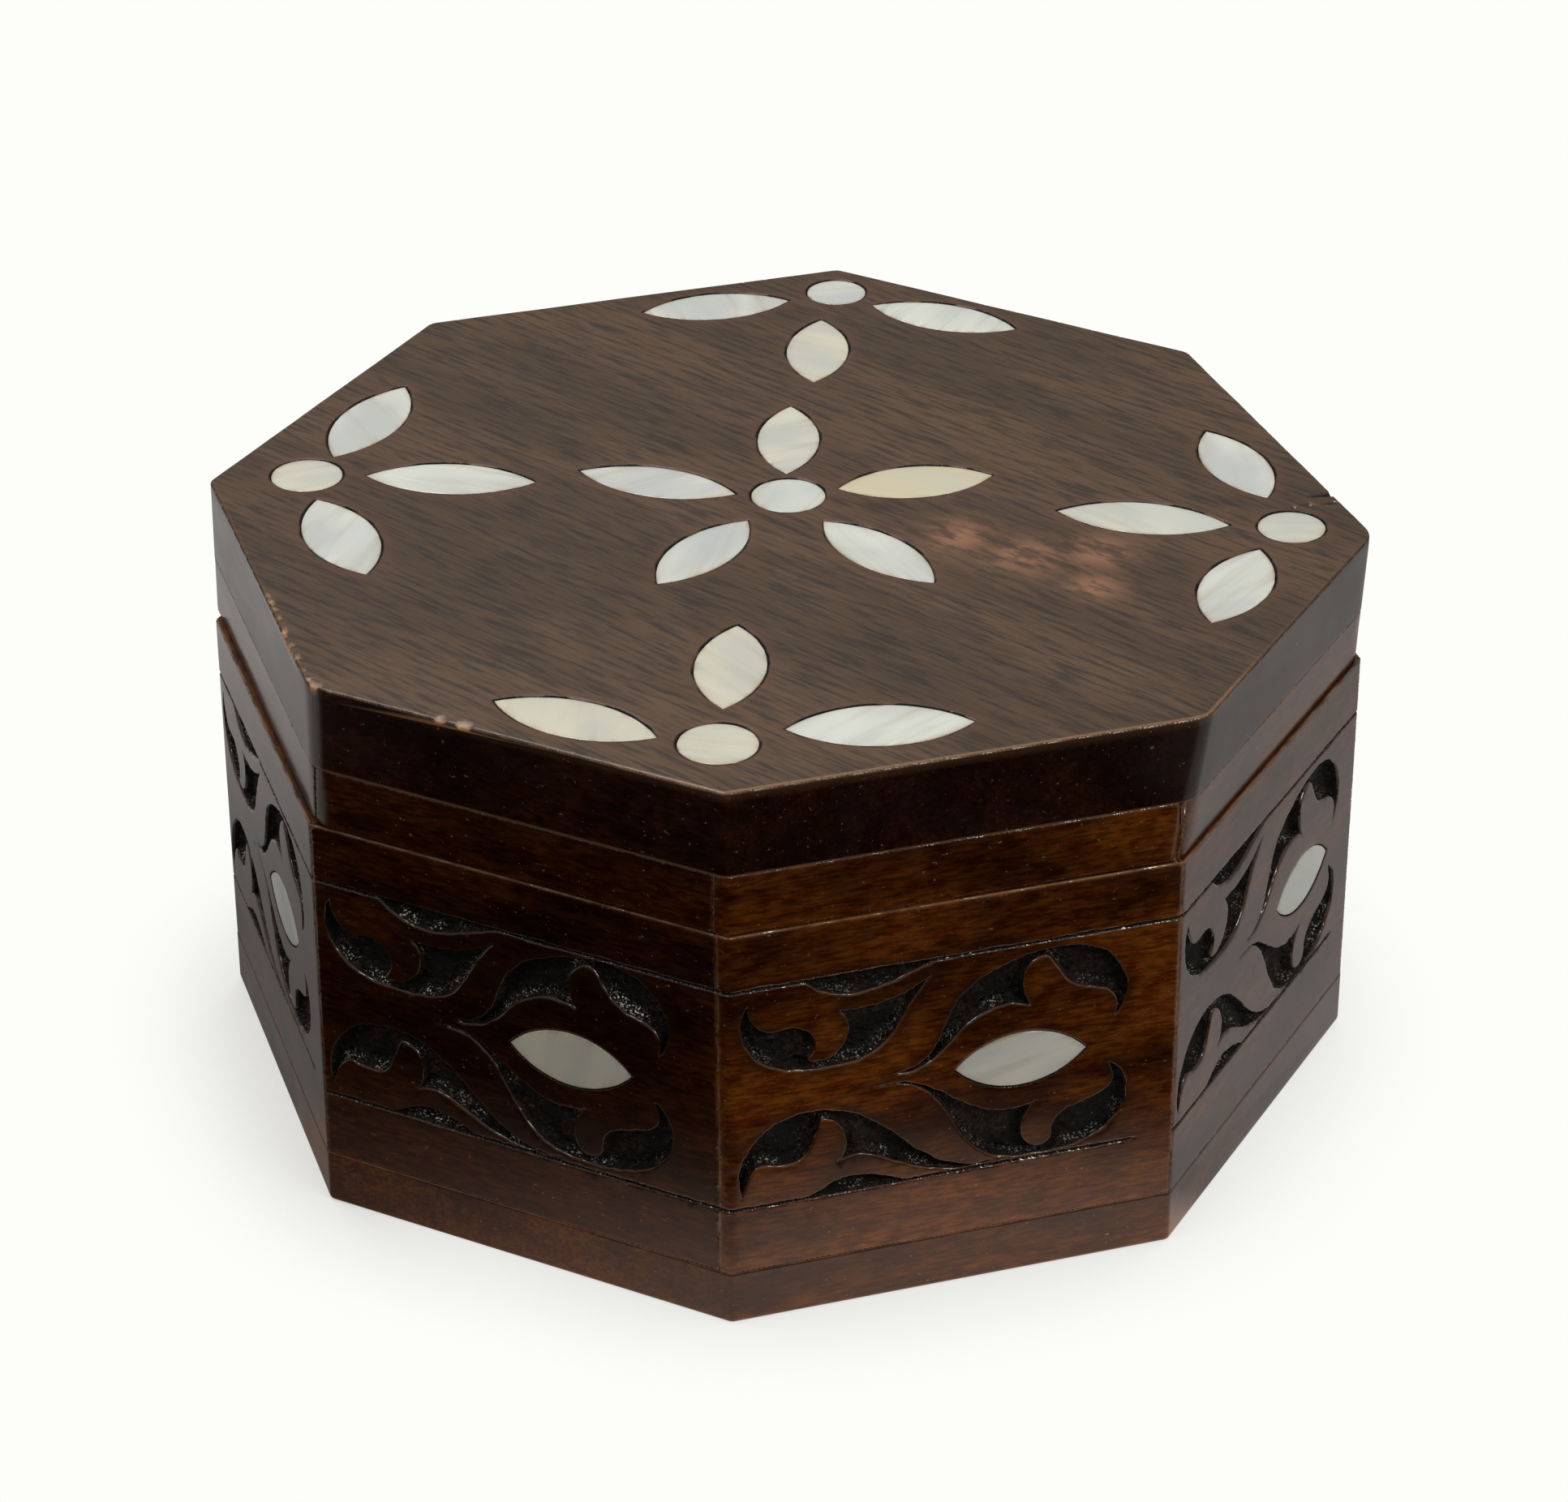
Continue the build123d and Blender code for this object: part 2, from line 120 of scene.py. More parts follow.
# ---- node helpers
class Nodes:
    """A shorthand for building the node tree of a material or world."""

    def __init__(self, owner):
        self.owner = owner
        owner.use_nodes = True
        self.tree = owner.node_tree
        self.tree.nodes.clear()

    def add(self, kind, settings=None, **inputs):
        node = self.tree.nodes.new(kind)
        for key, value in (settings or {}).items():
            setattr(node, key, value)
        for key, value in inputs.items():
            self.feed(node, int(key[1:]) if key[1:].isdigit() else key.replace("_", " "), value)
        return node

    def feed(self, node, key, value):
        socket = node.inputs[key]
        if isinstance(value, bpy.types.NodeSocket):
            self.tree.links.new(value, socket)
        else:
            socket.default_value = (*value, 1.0) if socket.type == "RGBA" else value

    def math(self, operation, a, b):
        return self.add("ShaderNodeMath", {"operation": operation}, i0=a, i1=b).outputs[0]

    def times(self, a, b):
        return self.math("MULTIPLY", a, b)

    def plus(self, a, b):
        return self.math("ADD", a, b)

    def mix(self, factor, a, b, blend="MIX"):
        node = self.add("ShaderNodeMix", {"data_type": "RGBA", "blend_type": blend}, i0=factor, i6=a, i7=b)
        return node.outputs[2]

    def layered(self, base, *layers):
        """Colours laid over a base in turn, each given with its share."""
        for share, colour in layers:
            base = self.mix(share, base, colour)
        return base

    def ramp(self, value, low, high, to_low=0.0, to_high=1.0):
        """Smoothly maps value from low..high to to_low..to_high."""
        smoothly = {"interpolation_type": "SMOOTHSTEP"}
        node = self.add("ShaderNodeMapRange", smoothly, i0=value, i1=low, i2=high, i3=to_low, i4=to_high)
        return node.outputs[0]

    def attribute(self, name, output="Fac"):
        return self.add("ShaderNodeAttribute", {"attribute_name": name}).outputs[output]

    def noise(self, vector, scale, detail=2.0, roughness=0.5, distortion=0.0):
        settings = {"Scale": scale, "Detail": detail, "Roughness": roughness, "Distortion": distortion}
        return self.add("ShaderNodeTexNoise", Vector=vector, **settings).outputs[0]

    def stretched(self, vector, scale, detail=2.0, roughness=0.5, distortion=0.0, shift=(0.0, 0.0, 0.0)):
        """Noise with its own scale along each axis."""
        scaled = self.add("ShaderNodeMapping", i0=vector, i1=shift, i3=scale).outputs[0]
        return self.noise(scaled, 1.0, detail, roughness, distortion)

    def surface(self, colour, height, strength, distance, **settings):
        """Ends the tree with a principled shader, bumped by a height, and returns the material."""
        bump = self.add("ShaderNodeBump", Strength=strength, Distance=distance, Height=height).outputs[0]
        shader = self.add("ShaderNodeBsdfPrincipled", Base_Color=colour, Normal=bump, **settings)
        self.add("ShaderNodeOutputMaterial", i0=shader.outputs[0])
        return self.owner

    def seen_apart(self, kind, around, seen):
        """Ends the tree with a shader for what the camera sees and another for everything else."""
        camera_ray = self.add("ShaderNodeLightPath").outputs["Is Camera Ray"]
        both = self.add("ShaderNodeMixShader", i0=camera_ray, i1=around.outputs[0], i2=seen.outputs[0])
        self.add(kind, i0=both.outputs[0])


def new_material(name):
    return Nodes(bpy.data.materials.new(name))


def add_object(name, data):
    thing = bpy.data.objects.new(name, data)
    bpy.context.scene.collection.objects.link(thing)
    return thing


# ---- stage and light
FLOOR_WHITE = (0.985, 0.985, 0.958)
FLOOR_SIZE = 12.0
FLOOR_FRONT = (-0.462, -0.887, 0.0)
BOX_REACH = 50.5 * MM
LIGHT_TARGET = Vector((0.0, 0.0, 0.03))


def add_floor():
    """A plain pale floor with a soft contact shadow. What it gives back to the box is a studio table's
    light: pale close in front of the box, dark further out in front, and pale round the other sides."""
    bm = bmesh.new()
    bmesh.ops.create_grid(bm, x_segments=2, y_segments=2, size=FLOOR_SIZE / 2)
    mesh = bpy.data.meshes.new("floor")
    bm.to_mesh(mesh)
    bm.free()
    floor = add_object("floor", mesh)
    floor.location.z = cad_low.z - 0.02 * MM
    n = new_material("floor")
    place = n.add("ShaderNodeNewGeometry").outputs["Position"]
    parts = n.add("ShaderNodeSeparateXYZ", i0=place).outputs
    x = parts[0]
    flat = n.add("ShaderNodeCombineXYZ", i0=x, i1=parts[1])
    away = n.add("ShaderNodeVectorMath", {"operation": "LENGTH"}, i0=flat.outputs[0]).outputs[1]
    way = n.add("ShaderNodeVectorMath", {"operation": "NORMALIZE"}, i0=flat.outputs[0]).outputs[0]
    frontness = n.add("ShaderNodeVectorMath", {"operation": "DOT_PRODUCT"}, i0=way, i1=FLOOR_FRONT).outputs[1]
    front = n.ramp(frontness, 0.50, 0.62)
    front_light = n.ramp(away, BOX_REACH + 8 * MM, BOX_REACH + 30 * MM, 1.10, 0.01)
    front_light = n.times(front_light, n.ramp(x, -60 * MM, -10 * MM, 0.17, 1.0))
    near = n.ramp(x, -BOX_REACH, BOX_REACH, 0.18, 0.48)
    far = n.ramp(x, -BOX_REACH, BOX_REACH, 0.56, 0.455)
    side_light = n.ramp(away, BOX_REACH + 5 * MM, BOX_REACH + 70 * MM, near, far)
    sideness = n.math("SUBTRACT", 1.0, front)
    table = n.plus(n.times(front, front_light), n.times(sideness, side_light))
    tint = n.mix(front, (1.0, 0.965, 0.93), (1.0, 0.76, 0.62))
    reflected = n.add("ShaderNodeEmission", Color=tint, Strength=table)
    shade = n.add("ShaderNodeAmbientOcclusion", {"samples": 8}, Distance=20 * MM).outputs[1]
    leftward = n.ramp(x, -BOX_REACH - 6 * MM, -BOX_REACH + 12 * MM, 1.0, 0.55)
    dark = n.times(n.ramp(shade, 0.30, 0.95, 1.0, 0.0), leftward)
    shadow = n.mix(dark, FLOOR_WHITE, (0.58, 0.57, 0.55))
    seen = n.add("ShaderNodeEmission", Color=shadow, Strength=1.0)
    n.seen_apart("ShaderNodeOutputMaterial", reflected, seen)
    mesh.materials.append(n.owner)


def add_world():
    """Light from all round, a little stronger from the front and from above. The camera sees it as white."""
    world = bpy.data.worlds.new("studio")
    bpy.context.scene.world = world
    n = Nodes(world)
    way = n.add("ShaderNodeTexCoord").outputs["Generated"]
    parts = n.add("ShaderNodeSeparateXYZ", i0=way)
    side = n.ramp(parts.outputs[1], -0.7, 0.7, 0.30, 0.22)
    up = n.ramp(parts.outputs[2], 0.1, 0.9, 0.0, 0.35)
    around = n.add("ShaderNodeBackground", Color=(1.0, 0.95, 0.875), Strength=n.plus(side, up))
    seen = n.add("ShaderNodeBackground", Color=FLOOR_WHITE, Strength=1.0)
    n.seen_apart("ShaderNodeOutputWorld", around, seen)


def add_light(name, place, size, power, tint=(1.0, 1.0, 1.0)):
    data = bpy.data.lights.new(name, "AREA")
    data.shape = "DISK"
    data.size = size
    data.energy = power
    data.color = tint
    light = add_object(name, data)
    light.location = place
    light.rotation_euler = (LIGHT_TARGET - Vector(place)).to_track_quat("-Z", "Y").to_euler()


def add_lights():
    add_light("overhead", (-0.10, 0.25, 0.75), 0.35, 3.2)
    add_light("glint", (-0.45, -0.35, 0.75), 0.12, 1.0)
    add_light("key", (0.42, -0.66, 0.56), 0.18, 2.6, tint=(1.0, 0.96, 0.90))


# ---- materials
def walnut_colour(n, grain, stain):
    """Stained walnut, from the piece's own grain coordinates: x runs along the fibres."""
    bands = n.stretched(grain, (16.0, 95.0, 95.0), 4.0, 0.6, 1.0)
    clouds = n.stretched(grain, (55.0, 85.0, 85.0), 3.0, 0.6, shift=(3.1, 1.7, 0.4))
    mottle = n.stretched(grain, (420.0, 900.0, 900.0), 3.0, 0.65)
    fleck = n.stretched(grain, (480.0, 3000.0, 3000.0), 2.0, 0.6)
    tone = n.ramp(n.plus(n.times(bands, 0.45), n.times(clouds, 0.55)), 0.38, 0.60)
    amber = n.mix(tone, (0.033, 0.0084, 0.0012), (0.126, 0.0370, 0.0042))
    dark = n.mix(tone, (0.0090, 0.0018, 0.0008), (0.0240, 0.0062, 0.0020))
    # The stain share picks amber or dark. On the walls and rim strips it is partly painted shade for the
    # sides that get less light.
    wood = n.mix(stain, amber, dark)
    wood = n.mix(n.ramp(mottle, 0.38, 0.66, 0.0, 0.75), wood, (0.20, 0.064, 0.010), "SOFT_LIGHT")
    shade = n.ramp(fleck, 0.34, 0.62, 0.52, 1.14)
    shade = n.add("ShaderNodeCombineColor", i0=shade, i1=shade, i2=shade).outputs[0]
    wood = n.mix(1.0, wood, shade, "MULTIPLY")
    specks = n.stretched(grain, (1400.0, 2300.0, 2300.0), 3.0, 0.7)
    return n.mix(n.ramp(specks, 0.66, 0.73, 0.0, 0.7), wood, (0.26, 0.15, 0.085))


def walnut_side():
    """Glossy lacquer over stained walnut, with pale edges that are partly wear and partly painted highlight,
    and painted shade round the carving.
    """
    n = new_material("walnut_side")
    grain = n.attribute("grain", "Vector")
    stain = n.attribute("stain")
    wear = n.attribute("wear")
    wood = walnut_colour(n, grain, stain)
    wood = n.mix(n.ramp(n.attribute("carve"), 0.05, 0.5, 0.0, 0.7), wood, (0.006, 0.003, 0.002))
    # Painted shade: the wood round the pockets is darkened so that the carving reads deeper.
    painted_pocket_shade = n.times(n.attribute("halo"), n.ramp(n.noise(grain, 260.0, 3.0), 0.36, 0.62, 0.15, 0.75))
    wood = n.mix(painted_pocket_shade, wood, (0.016, 0.0055, 0.0016))
    # Pale edges: partly wear and partly painted highlight along the seams, arrises and pocket rims.
    wear_and_highlight_share = n.times(wear, n.ramp(n.noise(grain, 420.0, 3.0, 0.6), 0.38, 0.62, 0.25, 0.95))
    pale = n.mix(stain, (0.25, 0.125, 0.052), (0.10, 0.046, 0.022))
    colour = n.mix(wear_and_highlight_share, wood, pale)
    pores = n.stretched(grain, (220.0, 3600.0, 3600.0), 2.0, 0.6)
    ripple = n.stretched(grain, (45.0, 120.0, 120.0), 2.0)
    height = n.plus(n.times(pores, 0.012), n.times(ripple, 0.30))
    rough = n.ramp(n.stretched(grain, (60.0, 200.0, 200.0), 3.0), 0.3, 0.7, 0.13, 0.22)
    return n.surface(colour, height, 0.5, 0.35 * MM, Roughness=rough, IOR=1.52)


def blackened():
    """The carving's ground: blackened and granular, with white glints painted on its lower edges."""
    n = new_material("blackened_carving")
    grain = n.attribute("grain", "Vector")
    grit = n.noise(grain, 2400.0, 3.0, 0.7)
    dents = n.noise(grain, 1500.0, 2.0, 0.5)
    patches = n.noise(grain, 330.0, 2.0, 0.5)
    lit = n.times(n.ramp(grit, 0.42, 0.70), n.ramp(patches, 0.40, 0.62, 0.12, 1.0))
    colour = n.mix(lit, (0.0012, 0.0009, 0.0007), (0.027, 0.0150, 0.0090))
    # Painted glints: near-white specks on the upward-facing lower edges of the carving.
    painted_glint_specks = n.times(n.attribute("glint"), n.ramp(n.noise(grain, 4600.0, 2.0, 0.6), 0.575, 0.625))
    colour = n.mix(painted_glint_specks, colour, (0.86, 0.84, 0.80))
    height = n.plus(grit, n.times(dents, 1.2))
    rough = n.ramp(dents, 0.57, 0.63, 0.80, 0.10)
    return n.surface(colour, height, 0.9, 0.34 * MM, Roughness=rough, Specular_IOR_Level=0.24)


def walnut_top():
    """The lid's satin top: fine slanting streaks, worn patches and pale chipped edges."""
    n = new_material("walnut_top")
    grain = n.attribute("grain", "Vector")
    side = n.attribute("side")
    bands = n.stretched(grain, (22.0, 95.0, 95.0), 3.0, 0.55, 0.5)
    streaks = n.stretched(grain, (170.0, 1700.0, 1700.0), 3.0, 0.65)
    fibre = n.stretched(grain, (260.0, 5200.0, 5200.0), 2.0, 0.6)
    wood = n.mix(n.ramp(bands, 0.35, 0.65), (0.045, 0.0232, 0.0100), (0.077, 0.0400, 0.0182))
    spots = n.stretched(grain, (240.0, 620.0, 620.0), 3.0, 0.6, shift=(5.0, 2.0, 0.0))
    wood = n.layered(
        wood,
        (n.ramp(streaks, 0.42, 0.66, 0.0, 0.9), (0.012, 0.0060, 0.0034)),
        (n.times(n.attribute("halo"), 0.4), (0.085, 0.034, 0.016)),
        (n.ramp(fibre, 0.50, 0.72, 0.0, 0.35), (0.105, 0.060, 0.034)),
        (n.times(n.attribute("patch"), n.ramp(spots, 0.38, 0.58, 0.15, 1.0)), (0.230, 0.108, 0.060)),
        (side, walnut_colour(n, grain, n.attribute("stain"))),
        # Pale edge line: partly wear and partly painted highlight.
        (n.times(n.attribute("wear"), 0.9), (0.29, 0.155, 0.078)),
        (n.ramp(n.attribute("filler"), 0.2, 0.7), (0.010, 0.0055, 0.0035)),
    )
    height = n.plus(n.times(streaks, 0.10), n.times(fibre, 0.06))
    satin = n.ramp(bands, 0.3, 0.7, 0.34, 0.44)
    roughness = n.math("SUBTRACT", satin, n.times(side, 0.15))
    return n.surface(wood, height, 0.5, 0.12 * MM, Roughness=roughness, IOR=1.5)


def nacre():
    """Mother of pearl: milky, banded, a little brown at its cut edges."""
    n = new_material("nacre")
    grain = n.attribute("grain", "Vector")
    warp = n.stretched(grain, (120.0, 60.0, 60.0), 2.0)
    clouds = n.stretched(grain, (200.0, 80.0, 80.0), 2.0, 0.45, 0.3)
    growth = n.stretched(grain, (820.0, 70.0, 70.0), 3.0, 0.55, 0.3)
    base = n.mix(n.ramp(clouds, 0.30, 0.70), (0.450, 0.478, 0.462), (0.585, 0.612, 0.565))
    base = n.layered(
        base,
        (n.ramp(growth, 0.48, 0.75, 0.0, 0.40), (0.37, 0.345, 0.27)),
        (n.ramp(warp, 0.46, 0.72, 0.0, 0.30), (0.42, 0.49, 0.545)),
        (n.times(n.attribute("cream"), n.ramp(clouds, 0.25, 0.65, 0.45, 1.0)), (0.53, 0.475, 0.315)),
        (n.times(n.attribute("wear"), n.ramp(growth, 0.35, 0.65, 0.10, 0.85)), (0.30, 0.20, 0.11)),
    )
    roughness = n.ramp(clouds, 0.3, 0.7, 0.22, 0.38)
    return n.surface(
        base, growth, 0.25, 0.10 * MM, Roughness=roughness, IOR=1.55, Coat_Weight=0.4, Coat_Roughness=0.12
    )


def brass():
    """Drawn brass, tarnished in patches and finely scratched."""
    n = new_material("brass")
    place = n.add("ShaderNodeTexCoord").outputs["Object"]
    tarnish = n.noise(place, 420.0, 4.0, 0.6)
    scratch = n.stretched(place, (60.0, 2600.0, 2600.0), 3.0, 0.6)
    colour = n.mix(n.ramp(tarnish, 0.40, 0.68), (0.58, 0.37, 0.12), (0.26, 0.15, 0.05))
    roughness = n.ramp(tarnish, 0.35, 0.7, 0.24, 0.48)
    return n.surface(colour, scratch, 0.3, 0.05 * MM, Metallic=1.0, Roughness=roughness)


def velvet():
    """Short pile, brushed in patches."""
    n = new_material("velvet")
    place = n.add("ShaderNodeTexCoord").outputs["Object"]
    brushed = n.stretched(place, (75.0, 130.0, 110.0), 3.0, 0.6, 0.3)
    pile = n.noise(place, 3200.0, 3.0, 0.7)
    colour = n.mix(n.ramp(brushed, 0.35, 0.68), (0.078, 0.0045, 0.0095), (0.125, 0.0070, 0.0150))
    colour = n.mix(n.ramp(pile, 0.35, 0.70, 0.0, 0.6), colour, (0.030, 0.0015, 0.0040))
    return n.surface(
        colour, pile, 0.8, 0.20 * MM, Roughness=0.9, Specular_IOR_Level=0.2,
        Sheen_Weight=0.6, Sheen_Roughness=0.35, Sheen_Tint=(0.85, 0.30, 0.36),
    )


# ---- reading the CAD shapes
WELD = 0.002 * MM
# A turn sharper than this is a corner, in a curve or between faces.
CORNER = math.radians(32)
LAYERS = ("carve", "wear", "stain", "filler", "halo", "side", "patch", "cream", "glint")


def new_bmesh():
    """A bmesh with every vertex layer that the materials read."""
    bm = bmesh.new()
    for name in LAYERS:
        bm.verts.layers.float.new(name)
    bm.verts.layers.float_vector.new("grain")
    return bm


def welded(node):
    """A CAD node's shape as a bmesh, its split vertices joined again."""
    bm = new_bmesh()
    bm.from_mesh(frame["nodes"][node].data)
    bmesh.ops.remove_doubles(bm, verts=bm.verts, dist=WELD)
    bm.normal_update()
    return bm


def boundary_loops(faces):
    """The closed loops of vertices round a set of faces."""
    chosen = set(faces)
    following = {}
    for face in faces:
        for corner in face.loops:
            if sum(other in chosen for other in corner.edge.link_faces) == 1:
                following[corner.vert] = corner.link_loop_next.vert
    loops = []
    while following:
        start, vert = following.popitem()
        chain = [start]
        while vert in following:
            chain.append(vert)
            vert = following.pop(vert)
        loops.append(chain)
    return loops


def facing(bm, way, level):
    """The faces that look along way and lie at that level along it."""
    return [
        face for face in bm.faces
        if face.normal.dot(way) > 0.99 and abs(face.calc_center_median().dot(way) - level) < 10 * WELD
    ]


def cut_level(bm, level):
    """Divides the mesh where a level plane crosses it."""
    everything = bm.verts[:] + bm.edges[:] + bm.faces[:]
    bmesh.ops.bisect_plane(bm, geom=everything, plane_co=(0, 0, level), plane_no=UP)


# ---- plane curves
def resampled(points, step):
    """A closed curve through these points, smooth except at its corners, as evenly spaced points that run
    counterclockwise."""
    count = len(points)
    before = points - np.roll(points, 1, 0)
    after = np.roll(points, -1, 0) - points
    turn = np.abs(np.angle((after[:, 0] + 1j * after[:, 1]) / (before[:, 0] + 1j * before[:, 1])))
    corners = np.flatnonzero(turn > CORNER)
    if len(corners) == 0:
        corners = np.array([0])
    result = []
    for k, first in enumerate(corners):
        last = corners[(k + 1) % len(corners)]
        if last <= first:
            last += count
        run = points[np.arange(first, last + 1) % count]
        ends = np.vstack([2 * run[0] - run[1], run, 2 * run[-1] - run[-2]])
        if len(corners) == 1 and turn[first] <= CORNER:
            ends[0], ends[-1] = run[-2], run[1]
        fine = []
        for a, b, c, d in zip(ends, ends[1:], ends[2:], ends[3:]):
            t = np.linspace(0, 1, 9)[:-1, None]
            fine.append(0.5 * (2 * b + (c - a) * t + (2 * a - 5 * b + 4 * c - d) * t**2
                               + (3 * b - 3 * c + d - a) * t**3))
        fine = np.vstack(fine + [run[-1:]])
        length = np.concatenate([[0], np.cumsum(np.hypot(*np.diff(fine, axis=0).T))])
        steps = max(2, round(length[-1] / step))
        places = np.linspace(0, length[-1], steps + 1)[:-1]
        result.append(np.stack([np.interp(places, length, column) for column in fine.T], 1))
    return counterclockwise(np.vstack(result))


def curve_normals(loop):
    """Unit normals of a closed curve, to the right of its way round."""
    way = np.roll(loop, -1, 0) - np.roll(loop, 1, 0)
    way /= np.hypot(*way.T)[:, None]
    return np.stack([way[:, 1], -way[:, 0]], 1)


def counterclockwise(loop):
    x, y = loop.T
    area = np.sum(x * np.roll(y, -1) - y * np.roll(x, -1))
    return loop if area > 0 else loop[::-1]


def inside_distance(points, loop, reach):
    """How far inside a closed curve each point lies; outside is negative, down to -reach."""
    result = np.full(len(points), -reach)
    low, high = loop.min(0) - reach, loop.max(0) + reach
    near = np.flatnonzero(np.all((points > low) & (points < high), axis=1))
    start, end = loop, np.roll(loop, -1, 0)
    way = end - start
    length = np.maximum(np.sum(way * way, 1), 1e-18)
    for some in np.array_split(near, max(1, len(near) // 2000)):
        p = points[some][:, None]
        t = np.clip(np.sum((p - start) * way, 2) / length, 0, 1)
        gap = np.sqrt(np.min(np.sum((p - start - t[..., None] * way) ** 2, 2), axis=1))
        over = (start[:, 1] > p[..., 1]) != (end[:, 1] > p[..., 1])
        rise = np.where(way[:, 1] == 0, 1e-18, way[:, 1])
        cross = start[:, 0] + (p[..., 1] - start[:, 1]) * way[:, 0] / rise
        inside = np.sum(over & (p[..., 0] < cross), axis=1) % 2 == 1
        result[some] = np.maximum(np.where(inside, gap, -gap), -reach)
    return result


def grid_over(points, step, rng):
    """A slightly uneven grid of points over the span of others."""
    low, high = np.min(points, 0), np.max(points, 0)
    x, y = np.meshgrid(np.arange(low[0], high[0], step), np.arange(low[1], high[1], step))
    points = np.stack([x.ravel(), y.ravel()], 1)
    return points + rng.uniform(-0.3, 0.3, points.shape) * step


def perlin(points, size, seed=0.0):
    """Smooth noise from -1 to 1 at 2-D points, with features that many millimetres across."""
    scaled = points / (size * MM)
    return np.array([noise.noise((x, y, seed)) for x, y in scaled])


def mm(*values):
    return np.array(values) * MM


def smooth(x, low, high):
    t = np.clip((x - low) / (high - low), 0, 1)
    return t * t * (3 - 2 * t)


# ---- relief
class Highest(dict):
    """Named quantities at a set of points. Each is the highest of the values it has been given there."""

    def take(self, **values):
        for name, value in values.items():
            self[name] = np.maximum(self[name], value) if name in self else value


class Relief:
    """A skin over a flat domain, raised or cut by a height function, that fills a hole in a bmesh."""

    def __init__(self, rim_verts, rim_points):
        self.rim_verts = rim_verts
        self.rim = rim_points
        self.points = []
        self.loops = []

    def add_rows(self, loop, offsets, tolerance=0.03 * MM, constrained=False):
        """Rows outside a curve by these offsets, without the points that fall nearer to another stretch of
        it. The triangles may have to keep to the curve itself."""
        sideways = curve_normals(loop)
        for offset in offsets:
            row = loop + sideways * offset
            true = -inside_distance(row, loop, 2 * MM)
            kept = np.abs(true - offset) < tolerance
            if constrained and offset == 0 and kept.all():
                self.loops.append(row)
            else:
                self.points.append(row[kept])

    def add_points(self, points):
        self.points.append(points)

    def build(self, bm, place, height):
        """Triangulates the domain, asks height for each point's height and attributes, and places it."""
        inner = np.vstack(self.points)
        margin = inside_distance(inner, self.rim, 0.5 * MM)
        inner = inner[margin > 0.02 * MM]
        count = len(self.rim)
        points = [self.rim]
        edges = [(k, (k + 1) % count) for k in range(count)]
        for loop in self.loops:
            first = sum(len(p) for p in points)
            points.append(loop)
            edges += [(first + k, first + (k + 1) % len(loop)) for k in range(len(loop))]
        points = np.vstack(points + [inner])
        corners = [Vector(point) for point in points / MM]
        verts, _, faces, sources, _, _ = delaunay_2d_cdt(corners, edges, [], 1, 1e-5)
        flat = np.array([tuple(v) for v in verts]) * MM
        raised, layers = height(flat)
        spots = place(flat, raised)
        made = []
        for spot, source in zip(spots, sources):
            on_rim = [k for k in source if k < count]
            if on_rim:
                made.append(self.rim_verts[on_rim[0]])
                made[-1].co = Vector(spot)
            else:
                made.append(bm.verts.new(spot))
        for name, values in layers.items():
            layer = bm.verts.layers.float[name]
            for vert, value in zip(made, values):
                vert[layer] = value
        for a, b, c in faces:
            if len({a, b, c}) == 3 and len({made[a], made[b], made[c]}) == 3:
                face = bm.faces.new((made[a], made[b], made[c]))
                face.smooth = True


def split_rim(loop, step):
    """Divides a hole's edges to that step and returns its vertices in order."""
    result = []
    for k, vert in enumerate(loop):
        last = loop[(k + 1) % len(loop)]
        edge = next(e for e in vert.link_edges if e.other_vert(vert) is last and e.is_boundary)
        parts = max(1, math.ceil(edge.calc_length() / step))
        result.append(vert)
        current = vert
        for left in range(parts, 1, -1):
            _, made = bmesh.utils.edge_split(edge, current, 1.0 / left)
            result.append(made)
            current = made
            edge = next(e for e in made.link_edges if e.other_vert(made) is last)
    return result


def relief_over_hole(bm, flatten, step):
    """A relief to fill the mesh's hole, and the hole's border, in the coordinates that flatten gives."""
    hole = max(boundary_loops(bm.faces), key=len)[::-1]
    border = counterclockwise(flatten(hole))
    rim_verts = split_rim(hole, step)
    return Relief(rim_verts, flatten(rim_verts)), border


def rounding(inside, radius):
    """How far an edge rounded to that radius lies below the surface, at a distance inside the edge."""
    over = np.clip(radius - inside, 0, radius)
    return radius - np.sqrt(np.maximum(radius**2 - over**2, 0))


# ---- pieces
def set_grain(bm, along, across, seed, origin=Vector()):
    """Stores each vertex's place in its board, x along the fibres; seed picks another stretch of timber."""
    layer = bm.verts.layers.float_vector["grain"]
    depth = along.cross(across)
    shift = Vector((0.317 * seed, 0.173 * seed, 0.091 * seed))
    for vert in bm.verts:
        gap = vert.co - origin
        vert[layer] = Vector((gap.dot(along), gap.dot(across), gap.dot(depth))) + shift


def set_layer(bm, name, value, verts=None):
    """Gives every vertex, or only those verts, one value in a layer."""
    layer = bm.verts.layers.float[name]
    for vert in bm.verts if verts is None else verts:
        vert[layer] = value


def finished(name, bm, materials, node):
    """Makes the object, which stands for that CAD node and rides where it rides."""
    mesh = bpy.data.meshes.new(name)
    bm.normal_update()
    bm.to_mesh(mesh)
    bm.free()
    for material in materials:
        mesh.materials.append(material)
    thing = add_object(name, mesh)
    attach(thing, frame["nodes"][node]["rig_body"])
    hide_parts(node)
    return thing


def level_frame(azimuth):
    """The level direction at an azimuth, and the level direction at a right angle to its left."""
    way = Vector((math.cos(azimuth), math.sin(azimuth), 0))
    return way, Vector((-way.y, way.x, 0))


def side_frame(side):
    """A side's outward direction and the direction along it, left to right as seen from outside."""
    return level_frame(math.radians(45 * SIDES.index(side) - 90))


POCKET_DEPTH = 1.6 * MM
EYE_DEPTH = 1.4 * MM
LINE_DEPTH = 0.5 * MM
# How strongly white glints are painted on the lower edges of a wall's carving, where it isn't half.
PAINTED_GLINTS = {"front": 0.40, "front_left": 1.0}


